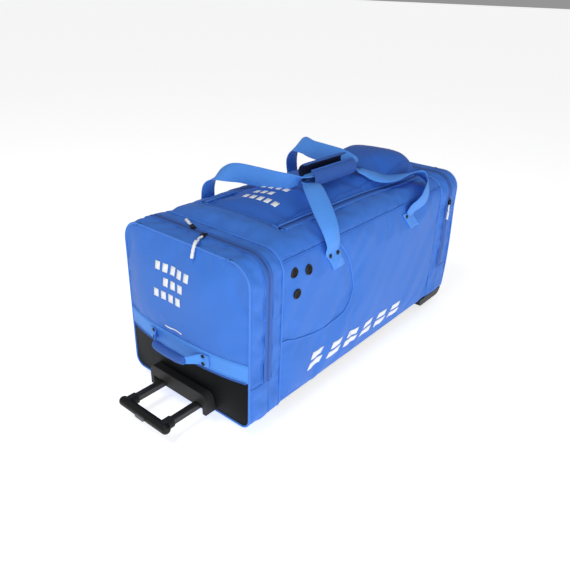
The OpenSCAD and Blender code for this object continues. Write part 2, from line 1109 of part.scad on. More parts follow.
floor_panel();
base_board();
tube_saddles();
skid_rails();
near_side_panel();
far_side_panel();
top_border();
bulkheads();
front_gusset();
rear_gusset();
front_skirt();
rear_skirt();
front_lower_panel();
front_band();
body_piping();
main_zip();
front_zip();
rear_zip();
vents();
strap_patches();
rivets();
trolley_plate();
outer_tubes();
wheel_housings();
wheel_axles();
housing_screws();
mid_tubes();
mid_bushes();
inner_tubes();
handle_grip();
inner_plugs();
release_rods();
button_spring();
release_button();
lock_pins();
near_wheel_hub();
near_wheel_tyre();
far_wheel_hub();
far_wheel_tyre();
lid_panel();
front_flap_panel();
front_flap_gusset();
rear_flap_panel();
rear_flap_gusset();
near_strap();
far_strap();
wrap_pad();
wrap_flap();
grab_webbing();
grab_grip();
front_slider_near();
front_slider_far();
rear_slider();
main_slider_near();
main_slider_far();
front_pull_near();
front_pull_far();
rear_pull();
main_pull_near();
main_pull_far();
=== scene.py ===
# Looks for the wheeled hockey equipment bag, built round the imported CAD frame.
# Lengths are in metres. -X is the trolley handle's end, -Y is the near side, and +Z is up.
import json
import math

import bmesh
import bpy
from mathutils import Matrix, Vector, noise
from mathutils.bvhtree import BVHTree
from mathutils.kdtree import KDTree


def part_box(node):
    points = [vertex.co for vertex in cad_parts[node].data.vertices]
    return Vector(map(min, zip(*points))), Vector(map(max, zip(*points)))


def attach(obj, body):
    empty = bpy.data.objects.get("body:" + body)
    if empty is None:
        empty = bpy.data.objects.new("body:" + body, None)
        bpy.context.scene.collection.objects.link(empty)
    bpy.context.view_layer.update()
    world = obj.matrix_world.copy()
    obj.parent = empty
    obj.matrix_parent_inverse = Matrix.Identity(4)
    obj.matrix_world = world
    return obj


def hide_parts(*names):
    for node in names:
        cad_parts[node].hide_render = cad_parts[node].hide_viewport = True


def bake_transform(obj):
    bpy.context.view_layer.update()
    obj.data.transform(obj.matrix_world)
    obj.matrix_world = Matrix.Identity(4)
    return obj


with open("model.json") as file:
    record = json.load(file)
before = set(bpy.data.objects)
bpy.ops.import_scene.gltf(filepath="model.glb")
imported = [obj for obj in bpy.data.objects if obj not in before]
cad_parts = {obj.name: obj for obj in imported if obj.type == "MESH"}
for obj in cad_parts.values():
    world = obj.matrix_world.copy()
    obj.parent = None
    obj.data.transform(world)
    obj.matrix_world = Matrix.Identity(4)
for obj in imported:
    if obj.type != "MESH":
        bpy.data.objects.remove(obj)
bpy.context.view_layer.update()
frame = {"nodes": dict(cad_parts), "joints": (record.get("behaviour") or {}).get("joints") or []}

# ---------------------------------------------------------------- measures from the frame

NEAR = -1
FAR = 1
FRONT = -1
REAR = 1
SIDE_TAG = {NEAR: "near", FAR: "far"}
END_TAG = {FRONT: "front", REAR: "rear"}
side_low, side_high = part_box("near_side_panel")
HALF_W = -side_low.y
SEAM_X = side_high.x + 0.0005
SIDE_LOW_Z = side_low.z
SIDE_TOP_Z = side_high.z
FLOOR_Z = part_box("floor_panel")[0].z
TOP_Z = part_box("top_border")[1].z
END_X = -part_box("front_gusset")[0].x + 0.0005
BASE_R = 0.025
TOP_R = 0.050
ZIP_X = -(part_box("front_zip")[0].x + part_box("front_zip")[1].x) / 2
ZIP_LOW_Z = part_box("front_zip")[0].z
ZIP_EDGE = 0.0055
BAND_LOW_Z, BAND_TOP_Z = [corner.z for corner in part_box("front_band")]
FOLD_Z = {end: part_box(END_TAG[end] + "_flap_panel")[0].z - 0.001 for end in (FRONT, REAR)}
SWELL = {FRONT: 0.024, REAR: 0.031}
LID_LOW, LID_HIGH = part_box("lid_panel")
LID_HALF_W = LID_HIGH.y
MOUTH_HALF_W = LID_HALF_W + 0.009
MOUTH_FRONT_X = LID_LOW.x - 0.002
MOUTH_REAR_X = LID_HIGH.x + 0.010
LID_CURL = 0.022
HOUSING_FRONT_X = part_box("wheel_housings")[0].x - 0.001
HOUSING_IN_Y = 0.128
HOUSING_TOP_Z = 0.0425
CLOTH_STEP = 0.008
WALL = 0.004
MOUTH_LIFT = 0.0012

JOINTS = {joint["name"]: joint for joint in frame["joints"]}

# ---------------------------------------------------------------- camera and light


def add_camera():
    """The photograph's viewpoint, fitted to the bag's corners and seams in it."""
    place = (-1.226, -0.893, 0.922)
    azimuth = math.radians(-51.22)
    elevation = math.radians(26.99)
    roll = math.radians(2.08)
    back = Vector((
        math.sin(azimuth) * math.cos(elevation),
        -math.cos(azimuth) * math.cos(elevation),
        math.sin(elevation),
    ))
    level = Vector((0, 0, 1)).cross(back).normalized()
    upright = back.cross(level)
    right = math.cos(roll) * level + math.sin(roll) * upright
    up = math.cos(roll) * upright - math.sin(roll) * level
    data = bpy.data.cameras.new("camera")
    data.lens = 36.52
    data.sensor_width = 36
    camera = bpy.data.objects.new("camera", data)
    turn = Matrix((right, up, back)).transposed().to_4x4()
    camera.matrix_world = Matrix.Translation(place) @ turn
    bpy.context.scene.collection.objects.link(camera)
    bpy.context.scene.camera = camera


def add_area_light(name, place, size, power):
    target = (0, 0, 0.2)
    data = bpy.data.lights.new(name, "AREA")
    data.shape = "DISK"
    data.size = size
    data.energy = power
    light = bpy.data.objects.new(name, data)
    light.location = place
    light.rotation_euler = (Vector(target) - Vector(place)).to_track_quat("-Z", "Y").to_euler()
    bpy.context.scene.collection.objects.link(light)


def add_studio():
    add_area_light("key_light", (-0.5, -2.9, 0.75), 1.4, 22)
    add_area_light("front_light", (-2.4, -2.3, 0.95), 1.2, 27)
    add_area_light("top_light", (-1.6, 0.2, 2.6), 1.4, 26)
    world = bpy.data.worlds.new("studio")
    world.use_nodes = True
    background = world.node_tree.nodes["Background"]
    background.inputs["Color"].default_value = (1, 1, 1, 1)
    background.inputs["Strength"].default_value = 0.30
    bpy.context.scene.world = world
    bpy.context.scene.view_settings.view_transform = "Standard"


def add_floor():
    bpy.ops.mesh.primitive_plane_add(size=160, location=(0, 0, -0.0005))
    floor = bpy.context.object
    floor.name = "studio_floor"
    floor.data.materials.append(MATERIALS["studio_floor"])


# ---------------------------------------------------------------- materials

MATERIALS = {}


def new_material(name, colour, roughness, metallic=0.0, sheen=0.0, specular=0.5):
    made = bpy.data.materials.new(name)
    made.use_nodes = True
    shader = made.node_tree.nodes["Principled BSDF"]
    shader.inputs["Base Color"].default_value = (*colour, 1)
    shader.inputs["Roughness"].default_value = roughness
    shader.inputs["Metallic"].default_value = metallic
    shader.inputs["Sheen Weight"].default_value = sheen
    shader.inputs["Sheen Roughness"].default_value = 0.5
    shader.inputs["Specular IOR Level"].default_value = specular
    made.diffuse_color = (*colour, 1)
    MATERIALS[name] = made
    return made


def link(made, source, output, target, socket):
    made.node_tree.links.new(source.outputs[output], target.inputs[socket])


def place_node(made):
    """Object coordinates: every piece's mesh is in the bag's frame, so patterns run on across seams."""
    return made.node_tree.nodes.new("ShaderNodeTexCoord")


def noise_node(made, scale):
    node = made.node_tree.nodes.new("ShaderNodeTexNoise")
    node.inputs["Scale"].default_value = scale
    node.inputs["Detail"].default_value = 3.0
    link(made, place_node(made), "Object", node, "Vector")
    return node


def vary_roughness(made, roughness, spread, scale):
    """Spreads the roughness by noise, to either side of its middle value."""
    ramp = made.node_tree.nodes.new("ShaderNodeMapRange")
    ramp.inputs["To Min"].default_value = roughness - spread
    ramp.inputs["To Max"].default_value = roughness + spread
    link(made, noise_node(made, scale), "Fac", ramp, "Value")
    link(made, ramp, "Result", made.node_tree.nodes["Principled BSDF"], "Roughness")


def vary_colour(made, colour, amount, scale, wear=0.0):
    """Mottles the base colour between a darker and a lighter shade; wear pales it along sharp edges."""
    tree = made.node_tree
    darker = [c * (1 - amount) for c in colour]
    lighter = [min(1.0, c * (1 + amount)) for c in colour]
    mix = tree.nodes.new("ShaderNodeMix")
    mix.data_type = "RGBA"
    mix.inputs[6].default_value = (*darker, 1)
    mix.inputs[7].default_value = (*lighter, 1)
    link(made, noise_node(made, scale), "Fac", mix, 0)
    last = mix
    if wear:
        geometry = tree.nodes.new("ShaderNodeNewGeometry")
        edge = tree.nodes.new("ShaderNodeMapRange")
        edge.inputs["From Min"].default_value = 0.53
        edge.inputs["From Max"].default_value = 0.62
        edge.inputs["To Max"].default_value = wear
        link(made, geometry, "Pointiness", edge, "Value")
        last = tree.nodes.new("ShaderNodeMix")
        last.data_type = "RGBA"
        last.inputs[7].default_value = (*[0.5 * c + 0.25 for c in colour], 1)
        tree.links.new(mix.outputs[2], last.inputs[6])
        link(made, edge, "Result", last, 0)
    tree.links.new(last.outputs[2], tree.nodes["Principled BSDF"].inputs["Base Color"])


def weave_height(made, period):
    """Crossing threads: one wave along each axis, so the weave shows on walls of any direction."""
    tree = made.node_tree
    total = None
    for direction in ("X", "Y", "Z"):
        wave = tree.nodes.new("ShaderNodeTexWave")
        wave.bands_direction = direction
        wave.inputs["Scale"].default_value = 2 * math.pi / 20 / period
        link(made, place_node(made), "Object", wave, "Vector")
        if total is None:
            total = (wave, "Fac")
            continue
        add = tree.nodes.new("ShaderNodeMath")
        add.operation = "ADD"
        link(made, total[0], total[1], add, 0)
        link(made, wave, "Fac", add, 1)
        total = (add, "Value")
    return total


def add_bump(made, source, output, strength, distance):
    tree = made.node_tree
    bump = tree.nodes.new("ShaderNodeBump")
    bump.inputs["Strength"].default_value = strength
    bump.inputs["Distance"].default_value = distance
    link(made, source, output, bump, "Height")
    link(made, bump, "Normal", tree.nodes["Principled BSDF"], "Normal")


def fabric(name, colour, roughness, period, sheen=0.03, bump=0.25, mottle=0.05, specular=0.17):
    made = new_material(name, colour, roughness, sheen=sheen, specular=specular)
    vary_colour(made, colour, mottle, 9)
    height, output = weave_height(made, period)
    add_bump(made, height, output, bump, period / 4)
    vary_roughness(made, roughness, 0.08, 160)


def moulded(name, colour, roughness, grain=900, bump=0.12, wear=0.04, metallic=0.0, specular=0.5):
    made = new_material(name, colour, roughness, metallic=metallic, specular=specular)
    vary_colour(made, colour, 0.12, 25, wear)
    add_bump(made, noise_node(made, grain), "Fac", bump, 0.0004)
    vary_roughness(made, roughness, 0.07, 40)


def make_materials():
    fabric("blue_cloth", (0.044, 0.172, 0.610), 0.50, 0.0013)
    # The lid's cloth is blue_cloth made darker: painted shade for the upward-facing lid, which the low lamps
    # light less.
    fabric("lid_cloth", (0.028, 0.124, 0.510), 0.52, 0.0013)
    fabric("webbing", (0.082, 0.290, 0.820), 0.50, 0.0026, bump=0.45, mottle=0.03)
    fabric("piping_cloth", (0.060, 0.212, 0.690), 0.50, 0.0016)
    fabric("tarpaulin", (0.004, 0.0044, 0.005), 0.52, 0.0020,
           sheen=0.0, bump=0.2, mottle=0.15, specular=0.08)
    fabric("lining", (0.020, 0.028, 0.050), 0.70, 0.0022, mottle=0.10)
    fabric("wrap_cloth", (0.032, 0.105, 0.400), 0.60, 0.0016)
    fabric("ribbed_lining", (0.006, 0.014, 0.060), 0.72, 0.0042, bump=0.8)
    fabric("zip_tape", (0.034, 0.128, 0.480), 0.60, 0.0012)
    moulded("zip_teeth", (0.014, 0.052, 0.240), 0.40, wear=0.05)
    fabric("thread", (0.110, 0.300, 0.820), 0.45, 0.0008, bump=0.5)
    moulded("black_plastic", (0.005, 0.005, 0.0055), 0.42, specular=0.28)
    moulded("soft_black", (0.006, 0.006, 0.0065), 0.50, grain=600, bump=0.25, specular=0.25)
    moulded("grey_plastic", (0.055, 0.057, 0.060), 0.48)
    moulded("white_pvc", (0.780, 0.800, 0.820), 0.38, grain=300, wear=0.0)
    moulded("print_ink", (0.800, 0.820, 0.850), 0.50, grain=1500, bump=0.2, wear=0.0)
    moulded("anodised", (0.008, 0.008, 0.009), 0.34, grain=2000, bump=0.05, specular=0.4)
    moulded("aluminium", (0.560, 0.570, 0.590), 0.33, grain=2000, bump=0.05, wear=0.0, metallic=1.0)
    moulded("steel", (0.520, 0.520, 0.540), 0.28, grain=1500, bump=0.05, wear=0.0, metallic=1.0)
    moulded("rubber", (0.020, 0.020, 0.021), 0.72, grain=500, bump=0.35)
    moulded("fibre_board", (0.060, 0.050, 0.042), 0.80, grain=220, bump=0.5, wear=0.05)
    floor = new_material("studio_floor", (0.900, 0.900, 0.905), 0.75)
    floor_light = floor.node_tree.nodes["Principled BSDF"]
    floor_light.inputs["Emission Color"].default_value = (1, 1, 1, 1)
    floor_light.inputs["Emission Strength"].default_value = 0.64
    add_bump(floor, noise_node(floor, 30), "Fac", 0.02, 0.001)


# ---------------------------------------------------------------- meshes


def new_piece(name, points, faces, *materials):
    mesh = bpy.data.meshes.new(name)
    mesh.from_pydata([tuple(p) for p in points], [], faces)
    mesh.validate()
    for key in materials:
        mesh.materials.append(MATERIALS[key])
    mesh.polygons.foreach_set("use_smooth", [True] * len(mesh.polygons))
    piece = bpy.data.objects.new(name, mesh)
    bpy.context.scene.collection.objects.link(piece)
    return piece


def settle_in(piece, body, nodes=()):
    """Rides the piece on a body and hides the CAD nodes that it stands for; for a fold between two bodies,
    only the transform is baked.
    """
    if isinstance(body, str):
        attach(piece, body)
    else:
        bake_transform(piece)
    if nodes:
        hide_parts(*nodes)
    return piece


def freeze(piece):
    """Applies the piece's modifiers."""
    graph = bpy.context.evaluated_depsgraph_get()
    mesh = bpy.data.meshes.new_from_object(piece.evaluated_get(graph))
    piece.modifiers.clear()
    piece.data = mesh
    return piece


def thicken(piece, thickness):
    """Gives a sheet its thickness inwards; its second material faces the inside."""
    shell = piece.modifiers.new("thickness", "SOLIDIFY")
    shell.thickness = thickness
    shell.offset = -1
    shell.material_offset = 1
    return freeze(piece)


def spaced(start, end, step, *through):
    """Numbers from start to end about a step apart, which pass exactly through the given ones."""
    stops = sorted({start, end, *[value for value in through if start < value < end]})
    line = [stops[0]]
    for low, high in zip(stops, stops[1:]):
        count = max(1, round((high - low) / step))
        line += [low + (high - low) * k / count for k in range(1, count + 1)]
    return line


def inside(low, value, high):
    return low < value < high


def grid_faces(rows, columns, keep=None, flip=False):
    faces = []
    for i in range(rows - 1):
        for j in range(columns - 1):
            if keep and not keep(i, j):
                continue
            a = i * columns + j
            corners = (a, a + columns, a + columns + 1, a + 1)
            faces.append(corners[::-1] if flip else corners)
    return faces


def circle_section(radius, count=8, flat=1.0):
    """A circle, or an oval whose second half-width is flat times the first."""
    turn = 2 * math.pi / count
    return [(radius * math.cos(turn * k), flat * radius * math.sin(turn * k)) for k in range(count)]


def band_section(width, thickness):
    """A flat band with rounded edges."""
    w = width / 2
    t = thickness / 2
    e = min(t, w / 4)
    return [(-w, 0), (e - w, -t), (0, -t), (w - e, -t), (w, 0), (w - e, t), (0, t), (e - w, t)]


def tube(name, rings, *materials, closed=False):
    """Joins rings of points into a tube, which runs back into its start if it is closed."""
    n = len(rings[0])
    count = len(rings)
    faces = []
    for i in range(count if closed else count - 1):
        for k in range(n):
            a = i * n + k
            b = i * n + (k + 1) % n
            c = (i + 1) % count * n + (k + 1) % n
            d = (i + 1) % count * n + k
            faces.append((a, d, c, b))
    if not closed:
        faces.append(tuple(range(n)))
        faces.append(tuple(range((count - 1) * n, count * n))[::-1])
    piece = new_piece(name, [point for ring_points in rings for point in ring_points], faces, *materials)
    tidy_normals(piece)
    return piece


def sweep(name, frames, section, *materials, closed=False, sizes=None):
    """Carries a section along frames of (place, across, outwards), scaled by sizes if there are any."""
    sizes = sizes or [1.0] * len(frames)
    rings = [[place + size * (u * across + v * outwards) for u, v in section]
             for (place, across, outwards), size in zip(frames, sizes)]
    return tube(name, rings, *materials, closed=closed)


def tidy_normals(piece):
    """Makes the faces of a closed piece point outwards."""
    mesh = bmesh.new()
    mesh.from_mesh(piece.data)
    bmesh.ops.recalc_face_normals(mesh, faces=mesh.faces)
    mesh.to_mesh(piece.data)
    mesh.free()


def headings(points):
    last = len(points) - 1
    return [(points[min(i + 1, last)] - points[max(i - 1, 0)]).normalized() for i in range(last + 1)]


def surface_frames(hits):
    """Frames for a trim that lies on a surface, from (place, normal) pairs."""
    along = headings([place for place, _ in hits])
    frames = []
    for (place, normal), heading in zip(hits, along):
        across = heading.cross(normal).normalized()
        frames.append((place, across, across.cross(heading).normalized()))
    return frames


def rod_frames(points):
    """Frames for a round rod, turned as little as possible from one to the next."""
    along = headings(points)
    across = along[0].orthogonal().normalized()
    frames = []
    for place, heading in zip(points, along):
        across = (across - across.dot(heading) * heading).normalized()
        frames.append((place, across, heading.cross(across)))
    return frames


def smooth_path(points, steps):
    """Rows of numbers joined by a smooth curve that passes through each of them."""
    rows = []
    last = len(points) - 1
    for i in range(last):
        a, b, c, d = (points[k] for k in (max(i - 1, 0), i, i + 1, min(i + 2, last)))
        for s in range(steps):
            t = s / steps
            rows.append([
                0.5 * (2 * q + (r - p) * t + (2 * p - 5 * q + 4 * r - s4) * t * t
                       + (3 * q - p - 3 * r + s4) * t ** 3)
                for p, q, r, s4 in zip(a, b, c, d)
            ])
    rows.append(list(points[last]))
    return rows


def lathe(name, outline, place, axis, *materials, count=28):
    """Turns an outline of (radius, height) pairs about an axis."""
    axis = Vector(axis).normalized()
    u = axis.orthogonal().normalized()
    v = axis.cross(u)
    points = []
    for radius, height in outline:
        for k in range(count):
            turn = 2 * math.pi * k / count
            points.append(Vector(place) + axis * height
                          + radius * (math.cos(turn) * u + math.sin(turn) * v))
    faces = []
    for i in range(len(outline) - 1):
        for k in range(count):
            a = i * count + k
            b = i * count + (k + 1) % count
            faces.append((a, b, b + count, a + count))
    faces.append(tuple(range(count))[::-1])
    faces.append(tuple(range((len(outline) - 1) * count, len(outline) * count)))
    piece = new_piece(name, points, faces, *materials)
    tidy_normals(piece)
    return piece


def join(name, pieces):
    """Joins pieces into one mesh that keeps each piece's materials."""
    mesh = bmesh.new()
    materials = []
    for piece in pieces:
        own = list(piece.data.materials)
        for m in own:
            if m not in materials:
                materials.append(m)
        start = len(mesh.faces)
        mesh.from_mesh(piece.data)
        mesh.faces.ensure_lookup_table()
        for face in mesh.faces[start:]:
            face.material_index = materials.index(own[face.material_index])
    data = bpy.data.meshes.new(name)
    mesh.to_mesh(data)
    mesh.free()
    for m in materials:
        data.materials.append(m)
    for piece in pieces:
        bpy.data.objects.remove(piece)
    joined = bpy.data.objects.new(name, data)
    bpy.context.scene.collection.objects.link(joined)
    return joined


# ---------------------------------------------------------------- the bag's cross-section

BOTTOM_RUN = HALF_W - BASE_R
BASE_ARC = math.pi / 2 * BASE_R
SIDE_RUN = (TOP_Z - TOP_R) - (FLOOR_Z + BASE_R)
TOP_ARC = math.pi / 2 * TOP_R
HALF_RING = BOTTOM_RUN + BASE_ARC + SIDE_RUN + TOP_ARC + HALF_W - TOP_R


def ring(distance):
    """Place and outward direction in (y, z), a distance round from the bottom's middle line.
    It is positive up the near side, and past the top's middle it runs on down the far side."""
    if distance > HALF_RING:
        distance -= 2 * HALF_RING
    side = NEAR if distance >= 0 else FAR
    d = abs(distance)
    if d <= BOTTOM_RUN:
        return side * d, FLOOR_Z, 0.0, -1.0
    d -= BOTTOM_RUN
    if d <= BASE_ARC:
        turn = d / BASE_R
        y, z = math.sin(turn), -math.cos(turn)
        return side * (BOTTOM_RUN + BASE_R * y), FLOOR_Z + BASE_R + BASE_R * z, side * y, z
    d -= BASE_ARC
    if d <= SIDE_RUN:
        return side * HALF_W, FLOOR_Z + BASE_R + d, float(side), 0.0
    d -= SIDE_RUN
    if d <= TOP_ARC:
        turn = d / TOP_R
        y, z = math.cos(turn), math.sin(turn)
        return side * (HALF_W - TOP_R + TOP_R * y), TOP_Z - TOP_R + TOP_R * z, side * y, z
    d -= TOP_ARC
    return side * (HALF_W - TOP_R - d), TOP_Z, 0.0, 1.0


def at_height(z):
    """The distance round the ring at which the near side reaches a height."""
    if z < FLOOR_Z + BASE_R:
        return BOTTOM_RUN + BASE_R * math.acos((FLOOR_Z + BASE_R - z) / BASE_R)
    start = BOTTOM_RUN + BASE_ARC
    if z <= TOP_Z - TOP_R:
        return start + z - FLOOR_Z - BASE_R
    return start + SIDE_RUN + TOP_R * math.asin((z - TOP_Z + TOP_R) / TOP_R)


def half_width(z):
    """Half of the bag's width at a height."""
    if z < FLOOR_Z + BASE_R:
        return HALF_W - BASE_R + math.sqrt(max(0, BASE_R ** 2 - (FLOOR_Z + BASE_R - z) ** 2))
    if z > TOP_Z - TOP_R:
        return HALF_W - TOP_R + math.sqrt(max(0, TOP_R ** 2 - (z - TOP_Z + TOP_R) ** 2))
    return HALF_W


def ease(t):
    t = max(0.0, min(1.0, t))
    return t * t * (3 - 2 * t)


def slack(x, distance):
    """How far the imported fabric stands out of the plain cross-section."""
    gusset_bulge = 0.0035
    side_bulge = 0.007
    top_bulge = 0.018
    top_rear_x = 0.30
    if distance > HALF_RING:
        distance -= 2 * HALF_RING
    if abs(x) > SEAM_X:
        middle = 1 - ((abs(x) - (SEAM_X + END_X) / 2) / ((END_X - SEAM_X) / 2)) ** 2
        return gusset_bulge * middle * max(0, min(1, abs(distance) / HALF_W * 2 - 1))
    low = at_height(FLOOR_Z + BASE_R)
    high = at_height(SIDE_TOP_Z)
    height = (abs(distance) - low) / (high - low)
    if height <= 0:
        return 0.0
    if height < 1:
        return side_bulge * (1 - (x / SEAM_X) ** 2) * math.sin(math.pi * height) ** 0.8
    across = 1 - (ring(distance)[0] / HALF_W) ** 2
    return top_bulge * across * ease((x + SEAM_X) / 0.035) * ease((top_rear_x - x) / top_rear_x)


def rear_belly(x, z):
    """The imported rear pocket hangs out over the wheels, so its lower part reaches further back."""
    reach = 0.013
    top = 0.33
    if x <= SEAM_X or z > top:
        return 0.0
    share = (x - SEAM_X) / (END_X - SEAM_X)
    return reach * share * share * math.sin(math.pi * ((z - FLOOR_Z) / (top - FLOOR_Z)) ** 0.8)


def skin(x, distance, lift=0.0):
    """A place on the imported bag's outside, which the cloth's sheets start from."""
    y, z, ny, nz = ring(distance)
    out = slack(x, distance) + lift
    z += out * nz
    return Vector((x + rear_belly(x, max(z, FLOOR_Z)), y + out * ny, z))


def outward(distance):
    """The way out of the cross-section, a distance round it."""
    _, _, ny, nz = ring(distance)
    return Vector((0, ny, nz))


# ---------------------------------------------------------------- cloth

SOFT = []


def creases(point, along, across, fine, seed):
    """Long shallow folds: slow noise in one direction and quick noise in the other."""
    a = point.dot(Vector(along))
    b = point.dot(Vector(across))
    return noise.noise(Vector((a * fine / 4, b * fine, seed)))


def edge_fade(piece, depth):
    """0 on the sheet's rim and 1 from a depth inwards."""
    mesh = bmesh.new()
    mesh.from_mesh(piece.data)
    rim = [v.co.copy() for v in mesh.verts if v.is_boundary]
    mesh.free()
    tree = KDTree(len(rim))
    for i, place in enumerate(rim):
        tree.insert(place, i)
    tree.balance()
    return [min(1.0, tree.find(v.co)[2] / depth) for v in piece.data.vertices]


def crumple(piece, folds, depth=0.02):
    """Moves the sheet along its normals by the folds, each (height, along, across, fine, seed)."""
    fade = edge_fade(piece, depth)
    moves = []
    for vertex, share in zip(piece.data.vertices, fade):
        total = sum(h * creases(vertex.co, along, across, fine, seed)
                    for h, along, across, fine, seed in folds)
        moves.append(vertex.normal * total * share)
    for vertex, move in zip(piece.data.vertices, moves):
        vertex.co += move


def make_soft(piece, growth, pressure, cap, pins=None):
    """Queues the sheet for the cloth simulation, sewn fast round its rim and wherever pins says.
    Its vertices move at most the cap's distance."""
    mesh = bmesh.new()
    mesh.from_mesh(piece.data)
    fast = [v.index for v in mesh.verts if v.is_boundary or (pins and pins(v.co))]
    mesh.free()
    SOFT.append((piece, fast, growth, pressure, cap))


def simulate():
    """Lets all queued sheets swell and buckle together, and keeps the result."""
    last_frame = 18
    rest = {}
    for piece, fast, growth, pressure, _ in SOFT:
        rest[piece.name] = [v.co.copy() for v in piece.data.vertices]
        piece.vertex_groups.new(name="sewn").add(fast, 1.0, "REPLACE")
        cloth = piece.modifiers.new("cloth", "CLOTH")
        cloth.settings.quality = 5
        cloth.settings.mass = 0.25
        cloth.settings.tension_stiffness = 20
        cloth.settings.compression_stiffness = 20
        cloth.settings.bending_stiffness = 1.5
        cloth.settings.vertex_group_mass = "sewn"
        cloth.settings.shrink_min = -growth
        cloth.settings.use_pressure = True
        cloth.settings.uniform_pressure_force = pressure
        cloth.settings.effector_weights.gravity = 0
        cloth.collision_settings.use_collision = False
        cloth.point_cache.frame_end = last_frame
    for number in range(1, last_frame + 1):
        bpy.context.scene.frame_set(number)
    graph = bpy.context.evaluated_depsgraph_get()
    for piece, _, _, _, cap in SOFT:
        soft = piece.evaluated_get(graph).data
        places = [v.co.copy() for v in soft.vertices]
        piece.modifiers.clear()
        piece.vertex_groups.clear()
        for vertex, old, new in zip(piece.data.vertices, rest[piece.name], places):
            move = new - old
            if move.length > cap:
                move = move * (cap / move.length)
            vertex.co = old + move
    bpy.context.scene.frame_set(1)


# ---------------------------------------------------------------- the fabric panels

DIAGONAL = ((0.6, 0, 0.8), (0.8, 0, -0.6))
PAST_EDGE = 1.0


def wall_panel(name, xs, ds, holes=(), lift=0.0, materials=("blue_cloth", "lining")):
    """A sheet of the bag's skin, less its holes, each (x0, x1, d0, d1)."""
    points = [skin(x, d, lift) for x in xs for d in ds]

    def keep(i, j):
        x = (xs[i] + xs[i + 1]) / 2
        d = (ds[j] + ds[j + 1]) / 2
        return not any(inside(x0, x, x1) and inside(d0, d, d1) for x0, x1, d0, d1 in holes)

    piece = new_piece(name, points, grid_faces(len(xs), len(ds), keep), *materials)
    loose = bmesh.new()
    loose.from_mesh(piece.data)
    bmesh.ops.delete(loose, geom=[v for v in loose.verts if not v.link_faces], context="VERTS")
    loose.to_mesh(piece.data)
    loose.free()
    return piece


def side_panels():
    low = at_height(SIDE_LOW_Z)
    high = at_height(SIDE_TOP_Z)
    hole = at_height(HOUSING_TOP_Z)
    xs = spaced(-SEAM_X, SEAM_X, CLOTH_STEP, HOUSING_FRONT_X)
    made = {}
    for side, name in ((NEAR, "near_side_cloth"), (FAR, "far_side_cloth")):
        ds = spaced(low, high, CLOTH_STEP, hole)
        holes = [(HOUSING_FRONT_X, PAST_EDGE, low - PAST_EDGE, hole)]
        if side == FAR:
            ds = [-d for d in reversed(ds)]
            holes = [(HOUSING_FRONT_X, PAST_EDGE, -hole, PAST_EDGE - low)]
        piece = wall_panel(name, xs, ds, holes)
        crumple(piece, [
            (0.0050, (1, 0, 0.3), (-0.3, 0, 1), 7, 3 + side),
            (0.0034, *DIAGONAL, 22, 8 + side),
        ], 0.05)
        make_soft(piece, growth=0.010, pressure=0.8, cap=0.006, pins=lambda p: on_pocket_seam(p, 0.005))
        made[side] = piece
    return made


def floor_panel():
    low = at_height(SIDE_LOW_Z)
    xs = spaced(-SEAM_X, SEAM_X, 0.02, HOUSING_FRONT_X)
    ds = spaced(-low, low, 0.012, -HOUSING_IN_Y, HOUSING_IN_Y)
    holes = [(HOUSING_FRONT_X, PAST_EDGE, HOUSING_IN_Y, PAST_EDGE),
             (HOUSING_FRONT_X, PAST_EDGE, -PAST_EDGE, -HOUSING_IN_Y)]
    return wall_panel("floor_cloth", xs, ds, holes, materials=("tarpaulin", "lining"))


def top_border():
    low = at_height(SIDE_TOP_Z) - 0.003
    xs = spaced(-SEAM_X, SEAM_X, CLOTH_STEP, MOUTH_FRONT_X, MOUTH_REAR_X)
    mouth = (HALF_RING - MOUTH_HALF_W, HALF_RING + MOUTH_HALF_W)
    ds = spaced(low, 2 * HALF_RING - low, CLOTH_STEP, *mouth)
    piece = wall_panel("border_cloth", xs, ds, [(MOUTH_FRONT_X, MOUTH_REAR_X, *mouth)], MOUTH_LIFT)
    crumple(piece, [
        (0.0035, (1, 0.2, 0), (-0.2, 1, 0), 9, 5.5),
        (0.0015, (1, 0.6, 0), (-0.6, 1, 0), 26, 2.2),
    ])
    make_soft(piece, growth=0.010, pressure=0.5, cap=0.005)
    return piece


def end_gusset(end):
    """The gusset's three cloth parts: inside the zip, below the zip, and outside it on the flap."""
    tag = END_TAG[end]
    zip_in = ZIP_X - ZIP_EDGE
    zip_out = ZIP_X + ZIP_EDGE
    low = at_height(ZIP_LOW_Z)
    hole = at_height(HOUSING_TOP_Z)
    ring_end = 2 * HALF_RING
    near_hole = (0, PAST_EDGE, HOUSING_IN_Y, hole)
    far_hole = (0, PAST_EDGE, ring_end - hole, ring_end - HOUSING_IN_Y)
    low_hole = (0, PAST_EDGE, -hole, -HOUSING_IN_Y)
    holes = [near_hole, far_hole] if end == REAR else []
    fine = 0.006

    def stations(a, b):
        return sorted(spaced(end * a, end * b, fine))

    ds = spaced(0, ring_end, fine, HOUSING_IN_Y, hole, ring_end - hole, ring_end - HOUSING_IN_Y)
    inner = wall_panel(tag + "_gusset_inner", stations(SEAM_X, zip_in), ds, holes)
    ds = spaced(-low, low, fine, HOUSING_IN_Y, hole, -hole, -HOUSING_IN_Y)
    holes = [near_hole, low_hole] if end == REAR else []
    base = wall_panel(tag + "_gusset_base", stations(zip_in, END_X), ds, holes)
    ds = spaced(low, ring_end - low, fine)
    outer = wall_panel(tag + "_gusset_outer", stations(zip_out, END_X), ds)
    for k, piece in enumerate((inner, base, outer)):
        crumple(piece, [
            (0.0050, (0.8, 0.6, 0.6), (0.4, 0.7, -0.7), 26, 4.5 * k + end),
            (0.0036, (0.8, -0.6, -0.6), (0.6, 0.6, 0.8), 42, 1.5 * k + end),
        ], 0.020)
        make_soft(piece, growth=0.012, pressure=0.6, cap=0.005)
    return inner, base, outer


